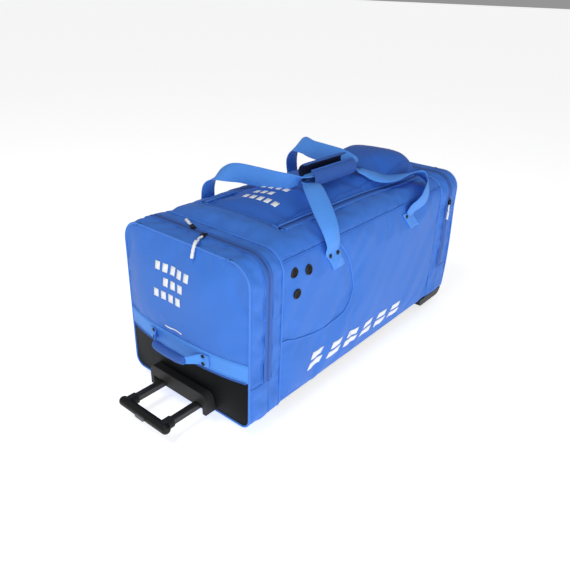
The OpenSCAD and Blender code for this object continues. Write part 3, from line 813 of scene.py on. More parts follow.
def end_place(end, y, z, lift=0.0):
    """A point on the swollen end of the bag."""
    v = 2 * (z - FLOOR_Z) / (TOP_Z - FLOOR_Z) - 1
    u = y / half_width(z)
    swell = SWELL[end] * max(0, 1 - abs(u) ** 2.6) * max(0, 1 - abs(v) ** 3.2)
    belly = rear_belly(END_X, z) if end == REAR else 0.0
    return Vector((end * (END_X + swell + lift) + belly, y, z))


def end_sheet(name, end, low, high, lift=0.0, materials=("blue_cloth", "lining")):
    """A sheet of an end of the bag between two heights, with closer rows at its rounded rim."""
    rim_gap = 0.004
    columns = 51
    crowding = math.pi / 2 * 0.92
    zs = spaced(low, high, CLOTH_STEP)
    if high >= TOP_Z - 0.001:
        rim = [TOP_Z - TOP_R * (1 - math.sin(math.radians(a))) for a in (55, 65, 73, 80, 86, 90)]
        zs = [z for z in zs if z < rim[0] - rim_gap] + rim
    if low <= FLOOR_Z + 0.001:
        rim = [FLOOR_Z + BASE_R * (1 - math.cos(math.radians(a))) for a in (0, 20, 40, 60)]
        zs = rim + [z for z in zs if z > rim[-1] + rim_gap]
    points = []
    for z in zs:
        for k in range(columns):
            u = math.sin(crowding * (2 * k / (columns - 1) - 1)) / math.sin(crowding)
            points.append(end_place(end, u * half_width(z), z, lift))
    return new_piece(name, points, grid_faces(len(zs), columns, flip=end == REAR), *materials)


def end_sheets(end):
    tag = END_TAG[end]
    skirt_top = BAND_LOW_Z if end == FRONT else FOLD_Z[REAR] - 0.012
    face_low = BAND_TOP_Z - 0.002 if end == FRONT else skirt_top
    face = end_sheet(tag + "_face_cloth", end, face_low, TOP_Z)
    crumple(face, [
        (0.0070, (0, 0.5, 0.85), (0, 0.85, -0.5), 9, 6.1 * end),
        (0.0042, (0, -0.6, 0.8), (0, 0.8, 0.6), 20, 2.7 * end),
    ], 0.05)
    make_soft(face, growth=0.012, pressure=0.8, cap=0.007)
    skirt = end_sheet(tag + "_skirt_cloth", end, FLOOR_Z, skirt_top, materials=("tarpaulin", "lining"))
    return face, skirt


# The lid's height above its rim, along its middle line from the hinge to the rear.
LID_CROWN = [
    (-0.2970, 0.000), (-0.2700, 0.007), (-0.2200, 0.018), (-0.1200, 0.027), (0.0000, 0.035), (0.0900, 0.041),
    (0.1500, 0.054), (0.2100, 0.069), (0.2600, 0.073), (0.3000, 0.070), (0.3510, 0.054),
]


def crown_height(x):
    for (x0, z0), (x1, z1) in zip(LID_CROWN, LID_CROWN[1:]):
        if x <= x1:
            return z0 + (z1 - z0) * max(0, x - x0) / (x1 - x0)
    return LID_CROWN[-1][1]


def lid_height(x, y):
    """The lid starts level with the border at its hinge and drops steeply at its rear end."""
    knee = LID_HIGH.x - LID_CURL
    rise = sum(crown_height(x + step) for step in (-0.02, -0.01, 0, 0.01, 0.02)) / 5
    rise *= ease((x - LID_LOW.x) / 0.03)
    if x > knee:
        rise *= math.sqrt(max(0, 1 - ((x - knee) / LID_CURL) ** 2))
    squareness = ease((x - 0.18) / 0.12)
    profile = max(0, 1 - abs(y / LID_HALF_W) ** (2.3 + 2.7 * squareness))
    across = profile ** (0.75 - 0.15 * squareness)
    return skin(x, HALF_RING + y, MOUTH_LIFT).z + rise * across


def lid_sheet():
    xs = spaced(MOUTH_FRONT_X, LID_HIGH.x - LID_CURL, CLOTH_STEP)
    xs += [LID_HIGH.x - LID_CURL + LID_CURL * math.sin(math.radians(a))
           for a in (15, 30, 45, 58, 70, 80, 90)]
    edge = 0.014
    ys = spaced(edge - LID_HALF_W, LID_HALF_W - edge, CLOTH_STEP)
    curl = [edge * math.sin(math.radians(a)) for a in (20, 40, 55, 70, 80, 90)]
    ys = [ys[0] - c for c in reversed(curl)] + ys + [ys[-1] + c for c in curl]
    points = [Vector((x, y, lid_height(x, y))) for x in xs for y in ys]
    # The lid takes the darker lid cloth: painted shade on the lid's top.
    piece = new_piece("lid_cloth_panel", points, grid_faces(len(xs), len(ys)), "lid_cloth", "lining")
    crumple(piece, [
        (0.0065, (1, 0.3, 0), (-0.3, 1, 0), 9, 1.3),
        (0.0042, (1, -0.8, 0), (0.8, 1, 0), 17, 7.7),
    ], 0.05)
    make_soft(piece, growth=0.010, pressure=0.8, cap=0.006)
    return piece


# ---------------------------------------------------------------- landing trims on the cloth

# Distances from the origin that clear the bag, which rays towards it start from.
CLEAR_X = 0.8
CLEAR_Y = 0.3
CLEAR_Z = 0.8
SURFACE = []


def remember_surface(pieces):
    """Keeps the outside of the finished sheets, for trims to land on."""
    points = []
    faces = []
    for piece in pieces:
        start = len(points)
        points += [v.co.copy() for v in piece.data.vertices]
        faces += [[start + k for k in p.vertices] for p in piece.data.polygons]
    SURFACE.append(BVHTree.FromPolygons(points, faces))


def land(origin, direction, lift, fallback):
    """Where a ray from outside meets the cloth, and the cloth's normal there."""
    direction = Vector(direction).normalized()
    reach = 0.6
    place, normal, _, _ = SURFACE[0].ray_cast(Vector(origin), direction, reach)
    if place is None:
        place = fallback
        normal = -direction
    if normal.dot(direction) > 0:
        normal = -normal
    return place + normal * lift, normal


def on_side(side, x, z, lift=0.0):
    return land((x, side * CLEAR_Y, z), (0, -side, 0), lift, Vector((x, side * HALF_W, z)))


def on_end(end, y, z, lift):
    return land((end * CLEAR_X, y, z), (-end, 0, 0), lift, end_place(end, y, z))


def on_top(x, y, lift):
    return land((x, y, CLEAR_Z), (0, 0, -1), lift, Vector((x, y, TOP_Z)))


def on_ring(x, distance, lift):
    normal = outward(distance)
    clearance = 0.03
    place, _ = land(skin(x, distance, clearance), -normal, lift, skin(x, distance))
    return place, normal


THREADS = {}


def stitch(key, hits, pitch=0.0046, length=0.0030, radius=0.00045):
    """Adds a row of stitches along (place, normal) pairs to the thread mesh with that key."""
    points, faces = THREADS.setdefault(key, ([], []))
    walked = 0.0
    due = pitch / 2
    for (a, na), (b, nb) in zip(hits, hits[1:]):
        step = (b - a).length
        if step < 1e-9:
            continue
        while due <= walked + step:
            t = (due - walked) / step
            add_stitch(points, faces, a.lerp(b, t), (b - a) / step, na.lerp(nb, t).normalized(),
                       length, radius)
            due += pitch
        walked += step


def add_stitch(points, faces, place, along, normal, length, radius):
    """One stitch: a short five-sided rod with its ends sunk in the cloth."""
    sides = 5
    across = along.cross(normal).normalized()
    start = len(points)
    for share, height, size in ((-0.5, -0.3, 0.7), (0.0, 0.9, 1.0), (0.5, -0.3, 0.7)):
        centre = place + along * length * share + normal * radius * height
        for k in range(sides):
            turn = 2 * math.pi * k / sides
            points.append(centre + radius * size * (math.cos(turn) * across + math.sin(turn) * normal))
    for ring_start in (start, start + sides):
        for k in range(sides):
            a = ring_start + k
            b = ring_start + (k + 1) % sides
            faces.append((a, b, b + sides, a + sides))
    faces.append(tuple(range(start, start + sides))[::-1])
    faces.append(tuple(range(start + 2 * sides, start + 3 * sides)))


def sew_threads():
    for (name, slot, body), (points, faces) in THREADS.items():
        piece = new_piece(name, points, faces, "thread")
        settle_in(piece, body)


def shifted(hits, offset, lift):
    """The same path moved sideways across the surface."""
    return [(place + across * offset + normal * lift, normal)
            for (place, normal), (_, across, _) in zip(hits, surface_frames(hits))]


def trim(name, hits, section, material, body, closed=False, nodes=()):
    """A strip or cord along (place, normal) pairs."""
    piece = sweep(name, surface_frames(hits), section, material, closed=closed)
    return settle_in(piece, body, nodes)


# ---------------------------------------------------------------- folds shared by several pieces


def flap_fold(end):
    """The fold between the bag and an end flap: its two bodies and two points across it."""
    x = end * (END_X + SWELL[end])
    z = FOLD_Z[end]
    return ("bag", END_TAG[end] + "_flap", (x, 0, z - 0.014), (x, 0, z + 0.030))


LID_FOLD = ("bag", "lid", (LID_LOW.x - 0.004, 0, TOP_Z), (LID_LOW.x + 0.040, 0, TOP_Z))


# ---------------------------------------------------------------- seams, piping and zips

# The skate pocket's seam on the side: x and z.
POCKET_CURVE = [
    (-0.371, 0.214), (-0.351, 0.211), (-0.318, 0.200), (-0.249, 0.187), (-0.170, 0.190),
    (-0.130, 0.200), (-0.104, 0.230), (-0.095, 0.261), (-0.106, 0.300), (-0.122, 0.337),
    (-0.144, 0.372), (-0.166, 0.395), (-0.186, 0.410),
]
POCKET_ROWS = smooth_path(POCKET_CURVE, 8)


def on_pocket_seam(point, reach):
    return any(math.hypot(point.x - x, point.z - z) < reach for x, z in POCKET_ROWS)


def seams_and_piping():
    """The pipings round the body and round the end faces' rims, and the seams of the sides."""
    piping = circle_section(0.0027)
    count = 260
    all_round = [2 * HALF_RING * k / count for k in range(count)]
    over_housings = at_height(HOUSING_TOP_Z) + 0.002
    for end in (FRONT, REAR):
        tag = END_TAG[end]
        closed = end == FRONT
        low = 0.0 if closed else over_housings
        for name, x, lift, step, body, nodes in (
            ("_body_piping", SEAM_X, 0.0006, 0.006, "bag", ["body_piping"]),
            ("_rim_piping", END_X, 0.0002, 0.005, flap_fold(end), ()),
        ):
            ds = all_round if closed else spaced(low, 2 * HALF_RING - low, step)
            loop = [(skin(end * x, d, lift), outward(d)) for d in ds]
            trim(tag + name, loop, piping, "piping_cloth", body, closed=closed, nodes=nodes)
        rim_row = [on_ring(end * (END_X - 0.0065), d, 0.0002)
                   for d in spaced(low, 2 * HALF_RING - low, 0.006)]
        stitch((tag + "_rim_stitching", "light_webbing", flap_fold(end)), rim_row)
    for side in (NEAR, FAR):
        side_seams(side)


SKIRT_SEAM = [(-0.368, 0.061), (-0.345, 0.054), (-0.300, 0.046), (-0.249, 0.037)]


def side_seams(side):
    """The skate pocket's piping, and the rows of stitches along the side's hem and low front corner."""
    tag = SIDE_TAG[side]
    key = (tag + "_side_stitching", "light_webbing", "bag")
    xs = spaced(-SEAM_X, SEAM_X, 0.012)
    curve = [on_side(side, x, z, 0.0006) for x, z in POCKET_ROWS]
    trim(tag + "_pocket_piping", curve, circle_section(0.0024), "piping_cloth", "bag")
    stitch(key, shifted(curve, 0.006 * side, -0.0004))
    for rise in (0.0035, 0.0075):
        stitch(key, [on_side(side, x, SIDE_TOP_Z + rise, 0.0003) for x in xs])
    fold = [on_side(side, x, SIDE_TOP_Z - 0.0015, 0.0008) for x in xs]
    trim(tag + "_hem_fold", fold, circle_section(0.0015), "blue_cloth", "bag")
    stitch(key, [on_side(side, x, z, 0.0002) for x, z in smooth_path(SKIRT_SEAM, 6)])


def coil(name, hits):
    """Closed zip teeth: a low ridge that is wider and higher at every other step."""
    pitch = 0.0016
    dense = []
    for (a, na), (b, nb) in zip(hits, hits[1:]):
        count = max(1, round((b - a).length / (pitch / 2)))
        dense += [(a.lerp(b, k / count), na.lerp(nb, k / count).normalized()) for k in range(count)]
    dense.append(hits[-1])
    sizes = [1.0 if i % 2 else 0.72 for i in range(len(dense))]
    ridge = sweep(name, surface_frames(dense), band_section(0.0052, 0.0022), "zip_teeth", sizes=sizes)
    settle_in(ridge, "bag")


def end_zips():
    """Tape on both sides of the teeth: the inner tape stays on the bag and the outer one is the flap's."""
    tape = band_section(0.0130, 0.0016)
    welt = circle_section(0.0017)
    tape_offset = 0.0068
    stitch_offset = 0.0120
    welt_offset = 0.0150
    second_stitch_offset = 0.0185
    low = at_height(ZIP_LOW_Z)
    ds = spaced(low, 2 * HALF_RING - low, 0.006)
    for end in (FRONT, REAR):
        tag = END_TAG[end]
        inner = (tag + "_gusset_stitching", "light_webbing", "bag")
        outer = (tag + "_flap_stitching", "light_webbing", flap_fold(end))

        def line(offset, lift):
            return [(skin(end * (ZIP_X + offset), d, lift), outward(d)) for d in ds]

        def landed(offset, lift):
            return [on_ring(end * (ZIP_X + offset), d, lift) for d in ds]

        trim(tag + "_zip_inner_tape", line(-tape_offset, 0.0012), tape, "zip_tape", "bag",
             nodes=[tag + "_zip"])
        trim(tag + "_zip_outer_tape", line(tape_offset, 0.0012), tape, "zip_tape",
             flap_fold(end))
        coil(tag + "_zip_teeth", line(-0.0004, 0.0016))
        stitch(inner, landed(-stitch_offset, 0.0003))
        stitch(outer, landed(stitch_offset, 0.0003))
        trim(tag + "_inner_welt", landed(-welt_offset, 0.0002), welt, "blue_cloth", "bag")
        trim(tag + "_outer_welt", landed(welt_offset, 0.0002), welt, "blue_cloth",
             flap_fold(end))
        stitch(outer, landed(second_stitch_offset, 0.0003))
        for side in (NEAR, FAR):
            stitch(inner, [on_side(side, end * x, ZIP_LOW_Z - 0.004, 0.0005)
                           for x in spaced(SEAM_X + 0.004, END_X - 0.004, 0.006)])


def mouth_line(y_out, x_out, lift):
    """A path round three sides of the lid, so far outside its edges, with rounded rear corners."""
    corner = 0.016
    y_edge = LID_HALF_W + y_out
    x_edge = LID_HIGH.x + x_out
    side = spaced(LID_LOW.x + 0.004, x_edge - corner, CLOTH_STEP)
    turns = [math.radians(a) for a in range(0, 91, 15)]
    arc = [(x_edge - corner + corner * math.sin(turn), y_edge - corner + corner * math.cos(turn))
           for turn in turns]
    rows = [(x, -y_edge) for x in side] + [(x, -y) for x, y in arc]
    rows += [(x_edge, y) for y in spaced(corner - y_edge, y_edge - corner, CLOTH_STEP)[1:-1]]
    rows += arc[::-1] + [(x, y_edge) for x in side[-2::-1]]
    up = Vector((0, 0, 1))
    return [(Vector((x, y, skin(x, HALF_RING + y, lift).z)), up) for x, y in rows]


def main_zip():
    """The zip round the lid: tape and teeth stay with the border, and the lid has a bound edge."""
    garage_reach = 0.0185
    garage = spaced(LID_HALF_W - 0.016, LID_HALF_W + garage_reach, 0.004)
    lid_row = spaced(LID_LOW.x + 0.012, LID_HIGH.x - 0.03, 0.008)
    trim("main_zip_tape", mouth_line(0.0105, 0.0090, 0.0030), band_section(0.0150, 0.0016), "zip_tape",
         "bag", nodes=["main_zip"])
    coil("main_zip_teeth", mouth_line(0.0038, 0.0038, 0.0036))
    border = ("border_stitching", "light_webbing", "bag")
    stitch(border, mouth_line(0.0150, 0.0105, 0.0042))
    trim("main_zip_welt", mouth_line(garage_reach, 0.0128, 0.0028), circle_section(0.0020), "piping_cloth",
         "bag")
    stitch(border, mouth_line(0.0225, 0.0158, 0.0026))
    trim("lid_edge_binding", mouth_line(-0.0010, -0.0010, 0.0040), circle_section(0.0024), "piping_cloth",
         LID_FOLD)
    for side in (NEAR, FAR):
        tag = SIDE_TAG[side]
        row = [on_top(x, side * (LID_HALF_W - 0.016), 0.0004) for x in lid_row]
        # The lid welts take the same darker lid cloth, painted shade.
        trim(tag + "_lid_welt", row, circle_section(0.0018), "lid_cloth", LID_FOLD)
        stitch(("lid_stitching", "light_webbing", LID_FOLD), shifted(row, -0.0045 * side, -0.0001))
        zip_end = [on_top(LID_LOW.x - 0.001, side * y, 0.0010) for y in garage]
        trim(tag + "_zip_end", zip_end, circle_section(0.0020), "piping_cloth", "bag")


# ---------------------------------------------------------------- small fittings


def vents():
    """Ringed eyelets with a disc and crossing threads of mesh in each."""
    ring_outline = [(0.0030, -0.003), (0.0084, -0.003), (0.0084, 0.0016), (0.0093, 0.0030),
                    (0.0108, 0.0032), (0.0121, 0.0022), (0.0126, 0.0006), (0.0120, -0.0006)]
    disc = [(0.0086, -0.002), (0.0086, 0.0012), (0.0040, 0.0013)]
    spots = [(-0.335, 0.378), (-0.290, 0.372), (-0.330, 0.327)]
    mesh_r = 0.0084
    mesh_pitch = 0.0024
    mesh_rise = 0.0017
    thread = circle_section(0.0005, 6)
    across = Vector((1, 0, 0))
    made = []
    for side in (NEAR, FAR):
        for x, z in spots:
            place, normal = on_side(side, x, z)
            made.append(lathe("vent", ring_outline, place, normal, "black_plastic"))
            made.append(lathe("disc", disc, place, normal, "black_plastic"))
            up = normal.cross(across).normalized()
            for k in range(-3, 4):
                reach = math.sqrt(mesh_r ** 2 - (mesh_pitch * k) ** 2)
                for one, two in ((across, up), (up, across)):
                    centre = place + one * mesh_pitch * k + normal * mesh_rise
                    rod = [centre - two * reach, centre, centre + two * reach]
                    made.append(sweep("mesh", rod_frames(rod), thread, "soft_black"))
    settle_in(join("vent_eyelets", made), "bag", ["vents"])


def rivet(place, normal, radius=0.0042):
    """A domed rivet head with a thin flange."""
    outline = [(radius + 0.0012, -0.0004), (radius + 0.0014, 0.0006), (radius, 0.0016),
               (radius * 0.6, 0.0024), (radius * 0.2, 0.0026)]
    return lathe("rivet", outline, place, normal, "black_plastic", count=20)


# The strap ends' middles (x and z) and how far each leans along the bag for its height.
STRAP_PLACES = [(-0.186, 0.364, 0.60), (0.180, 0.364, 0.75)]


def strap_end_point(side, place, u, v, lift):
    """A point on a leaning strap end: u runs along the bag and v up the webbing."""
    x, z, lean = place
    return on_side(side, x + u - lean * v, z + v, lift)


def strap_ends():
    """The sewn and riveted ends of the carrying straps, and the rivets of the grab handle."""
    half_w = 0.025
    half_h = 0.023
    rivet_u = 0.0150
    rivet_rise = 0.014
    lift = 0.0034
    row_steps = 6
    columns = spaced(-half_w, half_w, 0.005)
    rows = spaced(-half_h, half_h, 0.004)
    u = half_w - 0.004
    low = 0.004 - half_h
    high = rivet_rise - 0.008
    box_and_cross = [(-u, low), (u, low), (u, high), (-u, high), (-u, low), (u, high),
                     (u, high), (u, low), (-u, high)]
    rivets = []
    for side in (NEAR, FAR):
        tag = SIDE_TAG[side]
        key = (tag + "_side_stitching", "light_webbing", "bag")
        for k, place in enumerate(STRAP_PLACES):
            points = [strap_end_point(side, place, u, v, lift)[0] for u in columns for v in rows]
            faces = grid_faces(len(columns), len(rows), flip=side == FAR)
            end = new_piece(f"{tag}_strap_end_{k + 1}", points, faces, "webbing", "webbing")
            thicken(end, 0.0028)
            settle_in(end, "bag", ["strap_patches"])
            for (u0, v0), (u1, v1) in zip(box_and_cross, box_and_cross[1:]):
                shares = [t / row_steps for t in range(row_steps + 1)]
                row = [strap_end_point(side, place, u0 + (u1 - u0) * t, v0 + (v1 - v0) * t, lift + 0.0002)
                       for t in shares]
                stitch(key, row, pitch=0.0040, length=0.0028, radius=0.0004)
            for u_rivet in (-rivet_u, rivet_u):
                rivets.append(rivet(*strap_end_point(side, place, u_rivet, rivet_rise, lift)))
    for y in (-0.084, 0.084):
        for z in (0.171, 0.191):
            rivets.append(rivet(*on_end(FRONT, y, z, 0.0052), radius=0.0034))
    settle_in(join("rivet_heads", rivets), "bag", ["rivets"])


def pull_axes(pull):
    """The pull's pivot, the way that it points at rest, and the way out of the bag there."""
    joint = JOINTS[pull + "_swing"]
    pivot = Vector(joint["pos_m"])
    axis = Vector(joint["axis"]).normalized()
    low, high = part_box(pull)
    along = (low + high) / 2 - pivot
    along = (along - along.dot(axis) * axis).normalized()
    out = Vector((0, 0, 1)) if lies_flat(along) else Vector((0, -1, 0))
    return pivot, along, out


def lies_flat(along):
    return abs(along.z) < 0.5


def zip_pull(pull, length, droop):
    """A black loop and knot, a white cord, and a white moulded end whose tip droops."""
    pivot, along, out = pull_axes(pull)
    side = along.cross(out)
    lift = 0.0012
    bend = 0.68
    loop_middle, loop_length, loop_half_w = 0.004, 0.009, 0.0051

    def point(t, wave=0.0):
        drop = droop * max(0, (t - bend) / (1 - bend)) ** 2
        return pivot + along * length * t + out * (lift - drop) + side * wave

    loop = []
    for k in range(9):
        turn = math.pi * (k / 8 - 0.5)
        loop.append(pivot + along * (loop_middle + loop_length * math.cos(turn))
                    + side * loop_half_w * math.sin(turn) + out * lift)
    knot = [point(t) for t in (0.14, 0.17, 0.20, 0.23, 0.27, 0.30)]
    cord = [point(t / 20, 0.0016 * math.sin(t * 0.9)) for t in range(5, 15)]
    head = [point(t / 40) for t in range(26, 42)]
    ridges = [1.0 if i % 3 else 0.86 for i in range(len(head))]
    ridges[0] = ridges[-1] = 0.75
    parts = [
        sweep("loop", rod_frames(loop), circle_section(0.0020, 8), "black_plastic"),
        sweep("knot", rod_frames(knot), circle_section(0.0056, 10), "black_plastic",
              sizes=(0.6, 1.0, 0.8, 0.8, 1.0, 0.6)),
        sweep("cord", rod_frames(cord), circle_section(0.0026, 10), "white_pvc"),
        sweep("head", rod_frames(head), circle_section(0.0040, 12), "white_pvc", sizes=ridges),
    ]
    settle_in(join(pull + "_cord", parts), pull + "_body", [pull])


def zip_slider(slider, pull):
    """A waisted slider body and the arch that carries its pull."""
    pivot, along, out = pull_axes(pull)
    low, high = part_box(slider)
    centre = (low + high) / 2
    half_length = 0.0085
    body_drop = 0.0078
    body_rise = 0.0028
    base = pivot - out * body_drop
    if lies_flat(along):
        way = Vector((0, 1, 0))
        base = Vector((centre.x, centre.y, base.z))
    else:
        way = along
        base = Vector((centre.x, base.y, centre.z))
    rows = [base + way * half_length * t for t in (-1.0, -0.85, -0.5, 0, 0.5, 0.85, 1.0)]
    frames = [(row + out * body_rise, way.cross(out), out) for row in rows]
    body = sweep("body", frames, band_section(0.0120, 0.0050), "black_plastic",
                 sizes=(0.5, 0.85, 1.0, 0.8, 1.0, 0.85, 0.5))
    arch_r, arch_rise = 0.0028, 0.0022
    bridge = []
    for k in range(9):
        turn = math.pi * k / 8
        bridge.append(pivot - along * arch_r * math.cos(turn)
                      + out * (arch_rise * math.sin(turn) - body_rise))
    arch = sweep("arch", rod_frames(bridge), circle_section(0.0012, 8), "black_plastic")
    settle_in(join(slider + "_metal", [body, arch]), slider + "_body", [slider])


# ---------------------------------------------------------------- printed marks (generic)


def print_block(place_at, u0, u1, v0, v1, lean=0.0):
    """A thin printed parallelogram that follows the cloth."""
    rows = 3
    columns = max(3, round((u1 - u0) / 0.006))
    lift = 0.0007
    points = []
    for i in range(columns + 1):
        for j in range(rows + 1):
            v = v0 + (v1 - v0) * j / rows
            u = u0 + (u1 - u0) * i / columns + lean * (v - v0)
            points.append(place_at(u, v, lift)[0])
    piece = new_piece("mark", points, grid_faces(columns + 1, rows + 1), "print_ink", "print_ink")
    return thicken(piece, 0.0004)


def block_row(place_at, start, count, pitch, width, low, height):
    """A row of upright blocks."""
    return [print_block(place_at, start + pitch * k, start + pitch * k + width, low, low + height)
            for k in range(count)]


def side_blocks():
    """Slanting blocks of two bars each, along a line that falls a little towards the rear."""
    start_x = -0.276
    start_z = 0.092
    fall = 0.05
    block = 0.056
    gap = 0.022
    height = 0.042
    lean = 0.6
    low_bar, high_bar = 0.42, 0.58

    def spot(u, v, lift):
        return on_side(NEAR, u, v + start_z - fall * (u - start_x), lift)

    made = []
    for k in range(6):
        start = start_x + k * (block + gap)
        size = height * (1 - 0.02 * k)
        lean_in = lean * size * high_bar
        made.append(print_block(spot, start, start + block, 0, size * low_bar, lean))
        made.append(print_block(spot, start + lean_in, start + block * 0.8 + lean_in,
                                size * high_bar, size, lean))
    return made


def printed_marks():
    """Plain blocks and bars where the bag has its printing."""

    def on_face(u, v, lift):
        return on_end(FRONT, -u, v, lift)

    def on_lid(u, v, lift):
        return on_top(v, u, lift)

    front_rows = []
    for left, blocks, z in ((0.070, 5, 0.356), (0.040, 3, 0.324), (0.072, 4, 0.290)):
        front_rows.append((on_face, -left, blocks, 0.0245, 0.0155, z, 0.0195))
    lid_rows = []
    for middle, blocks, x in ((-0.004, 5, -0.240), (0.016, 3, -0.204), (0.010, 4, -0.168)):
        lid_rows.append((on_lid, middle - 0.0232 * blocks / 2, blocks, 0.0232, 0.0148, x, 0.0185))
    settle_in(join("side_print", side_blocks()), "bag")
    settle_in(join("front_print", [b for row in front_rows for b in block_row(*row)]),
              "front_flap")
    small_bar = print_block(on_face, -0.044, 0.017, 0.2190, 0.2225)
    settle_in(join("front_small_print", [small_bar]), "front_flap")
    settle_in(join("lid_print", [b for row in lid_rows for b in block_row(*row)]), "lid")


# ---------------------------------------------------------------- straps, wrap and grab handle

# Each row of a route: a place, the direction across the webbing there, and the webbing's width.
NEAR_ROUTE = [
    (-0.1965, -0.2042, 0.380, 1, 0, 0, 0.050),
    (-0.2020, -0.2075, 0.396, 1, 0, 0, 0.050),
    (-0.208, -0.212, 0.416, 1, 0, 0.1, 0.050),
    (-0.213, -0.204, 0.446, 1, -0.15, 0.15, 0.050),
    (-0.196, -0.168, 0.478, 0.9, -0.35, 0.2, 0.050),
    (-0.160, -0.112, 0.507, 0.8, -0.55, 0.2, 0.046),
    (-0.132, -0.078, 0.505, 0.5, -0.8, 0.1, 0.034),
    (-0.114, -0.058, 0.500, 0, -1, 0, 0.025),
    (-0.015, -0.058, 0.500, 0, -1, 0, 0.025),
    (0.081, -0.058, 0.500, 0, -1, 0, 0.025),
    (0.098, -0.082, 0.492, -0.1, -0.9, -0.4, 0.032),
    (0.124, -0.108, 0.478, -0.3, -0.8, -0.45, 0.044),
    (0.174, -0.128, 0.468, -0.4, -0.85, -0.1, 0.050),
    (0.236, -0.144, 0.470, -0.5, -0.8, 0.3, 0.050),
    (0.280, -0.168, 0.468, -0.6, -0.6, 0.5, 0.050),
    (0.276, -0.197, 0.444, -0.8, -0.3, 0.5, 0.050),
    (0.228, -0.213, 0.418, -0.9, -0.1, 0.4, 0.050),
    (0.182, -0.2075, 0.396, -1, 0, 0, 0.050),
    (0.169, -0.2042, 0.380, -1, 0, 0, 0.050),
]
FAR_ROUTE = [
    (-0.1965, 0.2042, 0.380, 1, 0, 0, 0.050),
    (-0.196, 0.2085, 0.400, 1, 0, 0, 0.050),
    (-0.196, 0.212, 0.418, 1, 0, 0.1, 0.050),
    (-0.194, 0.207, 0.456, 1, 0.1, -0.1, 0.050),
    (-0.178, 0.182, 0.484, 0.8, 0.3, 0.5, 0.050),
    (-0.166, 0.135, 0.496, 0.3, 0.1, 1, 0.050),
    (-0.160, 0.070, 0.498, 0.2, 0, 1, 0.050),
    (-0.156, 0.005, 0.500, 0.1, 0, 1, 0.048),
    (-0.144, -0.038, 0.508, 0, -0.5, 1, 0.036),
    (-0.120, -0.058, 0.516, 0, -1, 0.2, 0.027),
    (-0.098, -0.058, 0.516, 0, -1, 0, 0.026),
    (-0.015, -0.058, 0.516, 0, -1, 0, 0.026),
    (0.080, -0.058, 0.516, 0, -1, 0, 0.026),
    (0.096, -0.046, 0.516, 0, -1, 0.6, 0.032),
    (0.104, -0.005, 0.516, 0.3, -0.2, 1, 0.044),
    (0.109, 0.056, 0.515, 0.3, 0, 1, 0.050),
    (0.118, 0.107, 0.515, 0.3, 0, 1, 0.050),
    (0.130, 0.146, 0.518, 0.5, 0, 1, 0.050),
    (0.142, 0.182, 0.506, 1, 0, 0.6, 0.050),
    (0.152, 0.205, 0.468, 1, 0, 0, 0.050),
    (0.164, 0.212, 0.424, 1, 0, 0, 0.050),
    (0.170, 0.2042, 0.380, 1, 0, 0, 0.050),
]


def carrying_strap(name, route, body, node):
    """Webbing along a route, named with the fold where it leaves the side; it stays where it is laid."""
    rows = smooth_path(route, 7)
    places = [Vector(row[:3]) for row in rows]
    rings = []
    for row, place, heading in zip(rows, places, headings(places)):
        across = Vector(row[3:6])
        across = (across - across.dot(heading) * heading).normalized()
        out = across.cross(heading)
        rings.append([place + u * across + v * out for u, v in band_section(row[6], 0.0024)])
    side = NEAR if route[0][1] < 0 else FAR
    fold = ("bag", body, (0, side * HALF_W, 0.388), (0, side * HALF_W, 0.424))
    settle_in(tube(name, rings, "webbing"), fold, [node])


def padded_sheet(name, outline, x0, x1, thickness):
    """A padded sheet along X whose cross-section follows an outline in (y, z); its rim is rounded."""
    columns = 40
    count = len(outline)
    middle = [Vector((0, y, z)) for y, z in outline]
    normals = [heading.cross(Vector((1, 0, 0))).normalized() for heading in headings(middle)]
    points = []
    for layer in (1, -1):
        for c in range(columns + 1):
            u = c / columns
            x = x0 + (x1 - x0) * u
            end_round = math.sqrt(max(0, 1 - abs(2 * u - 1) ** 14))
            puff = 1 + 0.10 * math.sin(math.pi * u)
            for k, (place, normal) in enumerate(zip(middle, normals)):
                v = k / (count - 1)
                rim_round = math.sqrt(max(0, 1 - abs(2 * v - 1) ** 10))
                ripple = 0.0007 * noise.noise(Vector((x * 40, place.y * 70, place.z * 70)))
                thick = thickness / 2 * end_round * rim_round * puff
                points.append(Vector((x, 0, 0)) + place + normal * (layer * thick + ripple))
    layer_size = (columns + 1) * count
    faces = grid_faces(columns + 1, count)
    outer_count = len(faces)
    faces += [tuple(layer_size + k for k in face[::-1]) for face in faces]
    edge = list(range(count))
    edge += [c * count + count - 1 for c in range(1, columns + 1)]
    edge += [columns * count + k for k in range(count - 2, -1, -1)]
    edge += [c * count for c in range(columns - 1, 0, -1)]
    for k, a in enumerate(edge):
        b = edge[(k + 1) % len(edge)]
        faces.append((b, a, a + layer_size, b + layer_size))
    piece = new_piece(name, points, faces, "wrap_cloth", "ribbed_lining")
    for polygon in piece.data.polygons:
        polygon.material_index = 1 if outer_count <= polygon.index < 2 * outer_count else 0
    tidy_normals(piece)
    return piece


# The wrap's loose leaf in cross-section: y and z, from its fold to its tip.
LEAF_CURVE = [
    (-0.0375, 0.4985), (-0.0300, 0.5080), (-0.0245, 0.5190), (-0.0250, 0.5300), (-0.0330, 0.5375),
    (-0.0430, 0.5385),
]


